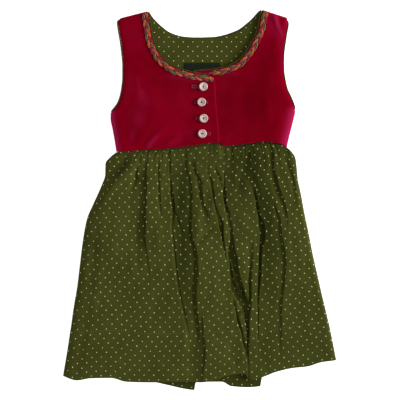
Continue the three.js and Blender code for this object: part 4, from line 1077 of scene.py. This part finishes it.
def makeSkirtBack():
    k, b = skirt, backSkirt
    share = np.linspace(0, 1, b["columns"])[None, :]
    t = np.linspace(0, 1, b["rows"])[:, None] ** 1.1
    right, left = skirtSides["right"](t), skirtSides["left"](t)
    x = mix(right, left, share)
    edge = np.minimum(x - right, left - x)
    seam = waistAt(mix(waistRight, waistLeft, share))
    y = mix(seam - b["gap"], backHemAt(mix(-k["hemHalf"], k["hemHalf"], share)), t)
    down = seam - y
    height = rumpled(x, y, 0.1, 21) + 0.1
    for ridge in backFolds:
        at = curvesOf("x tall half", ridge)
        height += b["ridge"] * at["tall"](y) * bell((x - at["x"](y)) / at["half"](y))
    puckers = np.clip(1 + gathered(frontGathers[::-1], 1 - share, down, left - right), 0, b["highest"])
    height = np.clip(height, 0, b["highest"]) + puckers * np.clip(1 - down / 60, 0, 1) * 0.7
    height = height * np.clip(edge / 12, 0, 1)
    side = (bodice["backSeamZ"] - k["wall"] / 2) * (1 - rollOver(edge / bodice["backRoll"]))
    points = np.stack([x, y, k["wall"] / 2 + np.maximum(side, np.minimum(height, b["highest"]))], -1)
    surface = gridSurface(points, threadLengths(points, k["cutWidth"]))
    # Painted shade: the whole back skirt is darkened, where it lies under the front.
    paintedShade = np.full(x.size, b["paintedShade"])
    piece = clothPiece("back_skirt", surface, k["wall"], finishes["cotton"], dict(paintedShade=paintedShade))
    place(piece, "cotton", "skirt_back")


makeSkirtFront()
makeSkirtBack()
print("skirt made")


# ---- edges
cord = dict(radius=0.85, offset=1.35, every=0.8, backLift=0.05, backEnd=14.8,
            flange=[(3.0, 0.56), (3.0, 0.66), (0.75, 0.68)])  # its seam allowance, laid on the velvet
# Fine steps along an edge, and how many places its direction is averaged over.
edgeSteps, averaged = 2400, 9


# Places evenly spaced along an edge between two sections, with the direction off the cloth.
def edgePath(edge, facing, first, last, every, corner=()):
    at = np.linspace(first, last, edgeSteps)
    sections = np.arange(shoulder + 1)
    x, y = (smoothCurve(sections, v, corner)(at) for v in zip(*edge))
    run = np.concatenate([[0], np.cumsum(np.hypot(np.diff(x), np.diff(y)))])
    count = max(4, int(run[-1] / every))
    even = np.linspace(0, run[-1], count)
    x, y, at = (np.interp(even, run, v) for v in (x, y, at))
    dx, dy = np.gradient(x), np.gradient(y)
    size = np.hypot(dx, dy)
    window = np.ones(averaged) / averaged
    out = np.stack([np.convolve(np.pad(v, averaged // 2, "edge"), window, "valid")
                    for v in (dy / size, -dx / size)], 1)
    return np.stack([x, y], 1), out / lengths(out) * facing, at, even


def edgeCord(name, node, edge, facing, first, last, heightOf, corner=(), cornerX=None):
    k = cord
    spot, out, at, even = edgePath(edge, facing, first, last, k["every"], corner)
    full = ease(np.minimum(even, even[-1] - even) / 9 + 0.35)
    low = 0
    if cornerX is not None:  # under the end of the plait it is pressed flat, below the velvet's edge
        full = ease((cornerX - spot[:, 0]) / 22 + 0.12)
        low = 0.95 * (1 - full)
    swell = mix(0.3, 1, full)
    plan = spot + out * (k["offset"] * swell)[:, None]
    z = heightOf(spot[:, 0], spot[:, 1], at) - low
    made = bar(np.column_stack([plan, z]), (0, 0, 1), ellipse(k["radius"], k["radius"], 10), swell)
    addPart(name, made, "cord", "cord", node)


def makeCords():
    k = cord
    onBack = lambda x, y, at: np.full_like(x, k["backLift"] + k["radius"])
    sides = [("right", rightOuter, rightInner, 1), ("left", leftOuter, leftInner, -1)]
    for side, outer, inner, facing in sides:
        neckHeight = lambda x, y, at, side=side: frontHeight(side, x, y, wellInside, at)
        armHeight = lambda x, y, at, side=side: frontHeight(side, x, y, 0.4, at)
        cornerX = inner[frontNeck][0] if side == "right" else None
        edgeCord("neck_edge_" + side, "neck_cord_front_" + side, inner, facing, frontNeck + 0.1, 14.85,
                 neckHeight, [frontNeck], cornerX)
        edgeCord("arm_edge_" + side, "armhole_cord_front_" + side, outer, -facing, underarm + 0.3, 14.5,
                 armHeight)
        edgeCord("arm_edge_back_" + side, "armhole_cord_back_" + side, outer, -facing, underarm + 0.3, 14.2,
                 onBack)


def makeBackNeckCord():
    k = cord
    rightSpot, rightOut, *_ = edgePath(rightBackInner, 1, backNeck, k["backEnd"], k["every"])
    leftSpot, leftOut, *_ = edgePath(leftBackInner, -1, backNeck, k["backEnd"], k["every"])
    spot = np.concatenate([rightSpot[::-1], leftSpot[1:]])
    out = np.concatenate([rightOut[::-1], leftOut[1:]])
    middle = len(rightSpot)
    out[middle - 5:middle + 5] = (0, 1)  # straight up across the centre of the back
    plan = spot + out * k["offset"]
    path = np.column_stack([plan, np.full(len(plan), k["backLift"] + k["radius"])])
    circle = ellipse(k["radius"], k["radius"], 10)
    made = bar(path, (0, 0, 1), np.concatenate([circle[:2], k["flange"], circle[2:]]))
    addPart("neck_edge_back", made, "cord", "cord", "neck_cord_back")


# ---- plaited trim
# Three flat strands: each sways across the trim as a sine and rises and dips twice as often, a third of
# a turn behind the next, so that it goes over one neighbour and under the other.
plait = dict(
    inset=5.4, cornerShift=2.4, repeat=29.0, sway=2.75, rise=0.55, lift=0.15, halfWidth=1.45, halfThick=0.5,
    every=0.6, end=14.8,
    outermost=dict(right=(-75.7, 233.4), left=(94.8, 248.2)),  # where the green strand is outermost
)


def strandSection(width, thick, count=16):
    turn = np.arange(count) * 2 * np.pi / count
    side = np.cos(turn)
    groove = 1 - 0.42 * bell(side / 0.42)
    high = np.sin(turn) * thick * groove * (0.6 + 0.4 * np.abs(side)) * np.where(np.abs(side) < 0.99, 1, 0.9)
    return np.stack([side * width, high], 1)


# starts holds how far along the edge each strand begins.
def makePlait(side, inner, facing, first, starts):
    k = plait
    spot, out, at, run = edgePath(inner, facing, first, k["end"], k["every"], [frontNeck])
    mark = np.argmin(np.hypot(*(spot - np.array(k["outermost"][side])).T))
    narrow = mix(0.7, 1, ease(run / 16))
    swell = mix(0.7, 1, narrow)
    inset = k["inset"] - k["cornerShift"] * (1 - ease(run / 34))
    section = strandSection(k["halfWidth"], k["halfThick"])
    strands = []
    for number, start in enumerate(starts):
        turn = (run - run[mark]) / k["repeat"] * 2 * np.pi + number * 2 * np.pi / 3
        plan = spot - out * (inset + k["sway"] * np.cos(turn) * narrow)[:, None]
        base = frontHeight(side, plan[:, 0], plan[:, 1], wellInside, at) + velvetWall / 2
        z = base + k["lift"] + k["halfThick"] + k["rise"] * (1 + np.sin(2 * turn))
        path = np.column_stack([plan, z])[run >= start]
        strands.append(bar(path, (0, 0, 1), section, swell[run >= start], 1.6))
    whole = joined(strands)
    piece = makeObject("plait_" + side, whole["points"], whole["faces"], whole["uv"],
                       dict(strand=whole["tag"]))
    mesh = piece.data
    for finish in strandFinishes:
        mesh.materials.append(finish)
    corners, loops = np.zeros(len(mesh.polygons), np.int32), np.zeros(len(mesh.loops), np.int32)
    mesh.polygons.foreach_get("loop_start", corners)
    mesh.loops.foreach_get("vertex_index", loops)
    mesh.polygons.foreach_set("material_index", whole["tag"][loops[corners]].astype(np.int32))
    place(piece, "braid", "neck_braid_" + side)


makeCords()
makeBackNeckCord()
makePlait("right", rightInner, 1, frontNeck + 0.03, (0, 0, 0))
makePlait("left", leftInner, -1, frontNeck + 0.8, (12.5, 11, 0))
print("edges and plaits made")


# ---- closure
# A turned solid: a profile of (radius, height) pairs from the bottom's middle to the top's.
def fromProfile(profile, count):
    profile = np.asarray(profile, float)
    turn = np.arange(count) * 2 * np.pi / count
    r, z = profile[1:-1, 0][:, None], profile[1:-1, 1][:, None]
    ring = np.stack(np.broadcast_arrays(r * np.cos(turn), r * np.sin(turn), z), -1).reshape(-1, 3)
    points = np.concatenate([ring, [[0, 0, profile[0, 1]], [0, 0, profile[-1, 1]]]])
    quads = gridQuads(len(r), count, closed=True)
    first, last = np.arange(count), np.arange(count) + (len(r) - 1) * count
    low = np.stack([np.full(count, len(ring)), np.roll(first, -1), first], 1)
    high = np.stack([np.full(count, len(ring) + 1), last, np.roll(last, -1)], 1)
    return dict(points=points, faces=[quads, low, high], uv=points[:, :2].copy())


def buttonProfile():
    out, dish, roll = closure["radius"], closure["dish"], 1.25
    rim = [(out + 0.02 - roll + roll * math.sin(a), roll - 1.2 * math.cos(a))
           for a in np.linspace(0, math.pi * 0.92, 12)]
    inner = [(out - 1.7, dish + 0.5), (out - 2.5, dish + 0.26), (out - 3.4, dish + 0.08)]
    return [(0, 0.05), (1.5, 0.05), (out - 2, 0.05)] + rim + inner + [(2.0, dish), (1.0, dish), (0, dish)]


def bottomOf(node):
    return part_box(node)[0][2] / mm


def makeButton(number, x, y, turn):
    node = f"button_{number}"
    seat = bottomOf(node)
    holes = [(x + s * math.cos(math.radians(turn)), y + s * math.sin(math.radians(turn)))
             for s in (-closure["holeSpacing"] / 2, closure["holeSpacing"] / 2)]
    disc = fromProfile(buttonProfile(), 72)
    disc["points"] = disc["points"] + np.array([x, y, seat])
    circle = ellipse(closure["holeRadius"], closure["holeRadius"], 20)
    drills = joined([prism(circle + hole, seat - 1, seat + 4) for hole in holes])
    addPart("shell_" + node, disc, "button", "button", node, cutter=drills)
    makeButtonThread(number, x, y, seat, holes)


# The thread of a button: three strands over the dish, and a core wound round below the button.
sewing = dict(strand=0.24, apart=0.26, strandDeep=2.0, strandHigh=2.45, middleHigher=0.1,
              winding=0.3, windingOut=0.75, turns=5, core=0.6)


def makeButtonThread(number, x, y, seat, holes):
    k = sewing
    node = f"button_thread_{number}"
    bottom = bottomOf(node)
    top = seat + closure["dish"]
    (ax, ay), (bx, by) = holes
    sx, sy = -(by - ay) / closure["holeSpacing"], (bx - ax) / closure["holeSpacing"]
    parts = []
    t = np.linspace(0, 1, 15)[:, None]
    for strand in (-1, 0, 1):
        ends = np.array([[ax, ay, 0], [bx, by, 0]]) + np.array([sx, sy, 0]) * k["apart"] * strand
        plan = mix(ends[0], ends[1], ease(t * 1.2 - 0.1))
        high = k["strandHigh"] + k["middleHigher"] * (strand == 0)
        arch = top - k["strandDeep"] + high * np.sin(t * np.pi) ** 0.35
        path = np.column_stack([plan[:, :2], arch])
        parts.append(bar(path, (sx, sy, 0), ellipse(k["strand"], k["strand"], 8), roundEnd=0.3))
    turn = np.linspace(0, 2 * np.pi * k["turns"], 90)
    rise = np.linspace(bottom + 0.3, seat - 0.35, 90)
    winding = np.column_stack([x + k["windingOut"] * np.cos(turn), y + k["windingOut"] * np.sin(turn), rise])
    parts.append(bar(winding, (0, 0, 1), ellipse(k["winding"], k["winding"], 7), roundEnd=0.3))
    core = np.column_stack([np.full(6, x), np.full(6, y), np.linspace(bottom + 0.1, seat - 0.05, 6)])
    parts.append(bar(core, (0, 1, 0), ellipse(k["core"], k["core"], 8), roundEnd=0.2))
    addPart(f"button_sewing_{number}", joined(parts), "redThread", "thread", node)


# A worked buttonhole: close stitches, each a short bar laid across the slot's edge, all round it.
holeStitch = dict(every=0.62, width=0.27, height=0.24, arch=0.42, lift=0.12)


def makeButtonhole(number, hole, y, button):
    k, stitch = closure, holeStitch
    node = f"buttonhole_{number}"
    bottom = bottomOf(node)
    half = k["slotLength"] / 2 - k["slotWidth"] / 2
    r = k["slotWidth"] / 2 + k["workedEdge"] / 2 - 0.1
    straight, bend = 2 * half, math.pi * r
    parts = []
    for s in np.arange(0, 2 * (straight + bend), stitch["every"]):
        if s < straight:
            px, py, ox, oy = -half + s, -r, 0, -1
        elif s < straight + bend:
            a = (s - straight) / r - math.pi / 2
            px, py, ox, oy = half + r * math.cos(a), r * math.sin(a), math.cos(a), math.sin(a)
        elif s < 2 * straight + bend:
            px, py, ox, oy = half - (s - straight - bend), r, 0, 1
        else:
            a = (s - 2 * straight - bend) / r + math.pi / 2
            px, py, ox, oy = -half + r * math.cos(a), r * math.sin(a), math.cos(a), math.sin(a)
        # The lips close but for the place where the button's thread comes through.
        closed = (abs(px) < half) * (1 - bell((hole + px - button) / 2.4))
        t = np.linspace(-0.5, 0.5, 5)
        z = bottom + stitch["lift"] + stitch["arch"] * np.cos(t * math.pi * 0.9)
        reach = mix(-1.15 - 0.55 * closed, 0.75 + 0.1 * math.sin(s * 5), t + 0.5)
        path = np.column_stack([hole + px + ox * reach, y + py + oy * reach, z])
        parts.append(bar(path, (0, 0, 1), ellipse(stitch["width"], stitch["height"], 5), roundEnd=0.3))
    addPart(f"worked_hole_{number}", joined(parts), "workedThread", "thread", node)


label = dict(columns=40, rows=20, wall=0.5)


def makeLabel():
    low, high = (np.array(v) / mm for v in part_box("label"))
    across, along = np.meshgrid(np.linspace(0, 1, label["columns"]), np.linspace(0, 1, label["rows"]))
    x, y = mix(low[0], high[0], across), mix(low[1], high[1], along)
    edge = np.minimum(np.minimum(x - low[0], high[0] - x), np.minimum(y - low[1], high[1] - y))
    z = (low[2] + high[2]) / 2 - 0.15 * (1 - ease(edge / 2.5)) + 0.08 * np.sin(x / 6) * np.sin(y / 5)
    surface = gridSurface(np.stack([x, y, z], -1))
    piece = clothPiece("blank_label", surface, label["wall"], finishes["label"])
    place(piece, "label", "label")


for number, (x, y, hole, turn) in enumerate(closure["buttons"], 1):
    makeButton(number, x, y, turn)
    makeButtonhole(number, hole, y, x)
makeLabel()
print("closure and label made")


# ---- studio
# In metres: span is the width that the camera takes in at the height clothZ.
studio = dict(span=0.58, distance=1.6, clothZ=0.006, sensor=36.0, centre=(0.0006, 0.0), sky=0.45,
              key=dict(place=(5.5, 0.45, 2.35), size=3.3, power=492), glow=0.85, floorHalf=4, floorZ=-0.0004)


def makeStudio():
    k = studio
    floor = bpy.data.meshes.new("floor")
    far = k["floorHalf"]
    floor.from_pydata([(-far, -far, 0), (far, -far, 0), (far, far, 0), (-far, far, 0)], [], [(0, 1, 2, 3)])
    ground = bpy.data.objects.new("floor", floor)
    ground.location.z = k["floorZ"]
    bpy.context.scene.collection.objects.link(ground)
    paper = Shader("litPaper", Roughness=0.9, Specular_IOR_Level=0.1, Emission_Color=(1, 1, 1, 1),
                   Emission_Strength=k["glow"])
    tone = paper.range(paper.noise(3, 2), 0.3, 0.7)
    floor.materials.append(paper.done(paper.mixColour(tone, (0.93, 0.93, 0.93, 1), (0.95, 0.95, 0.95, 1))))

    scene = bpy.context.scene
    world = bpy.data.worlds.new("sky")
    world.use_nodes = True
    world.node_tree.nodes["Background"].inputs["Color"].default_value = (1, 1, 1, 1)
    world.node_tree.nodes["Background"].inputs["Strength"].default_value = k["sky"]
    scene.world = world

    light = bpy.data.lights.new("softBox", "AREA")
    light.size, light.energy = k["key"]["size"], k["key"]["power"]
    lamp = bpy.data.objects.new("softBox", light)
    lamp.location = k["key"]["place"]
    lamp.rotation_mode = "QUATERNION"
    lamp.rotation_quaternion = (-lamp.location).to_track_quat("-Z", "Y")
    scene.collection.objects.link(lamp)

    data = bpy.data.cameras.new("camera")
    data.sensor_width = k["sensor"]
    data.lens = k["sensor"] * (k["distance"] - k["clothZ"]) / k["span"]
    data.clip_start, data.clip_end = 0.05, 20
    camera = bpy.data.objects.new("camera", data)
    camera.location = (k["centre"][0], k["centre"][1], k["distance"])
    scene.collection.objects.link(camera)
    scene.camera = camera
    scene.view_settings.view_transform = "Standard"
    scene.view_settings.look = "None"


makeStudio()
print("studio made")
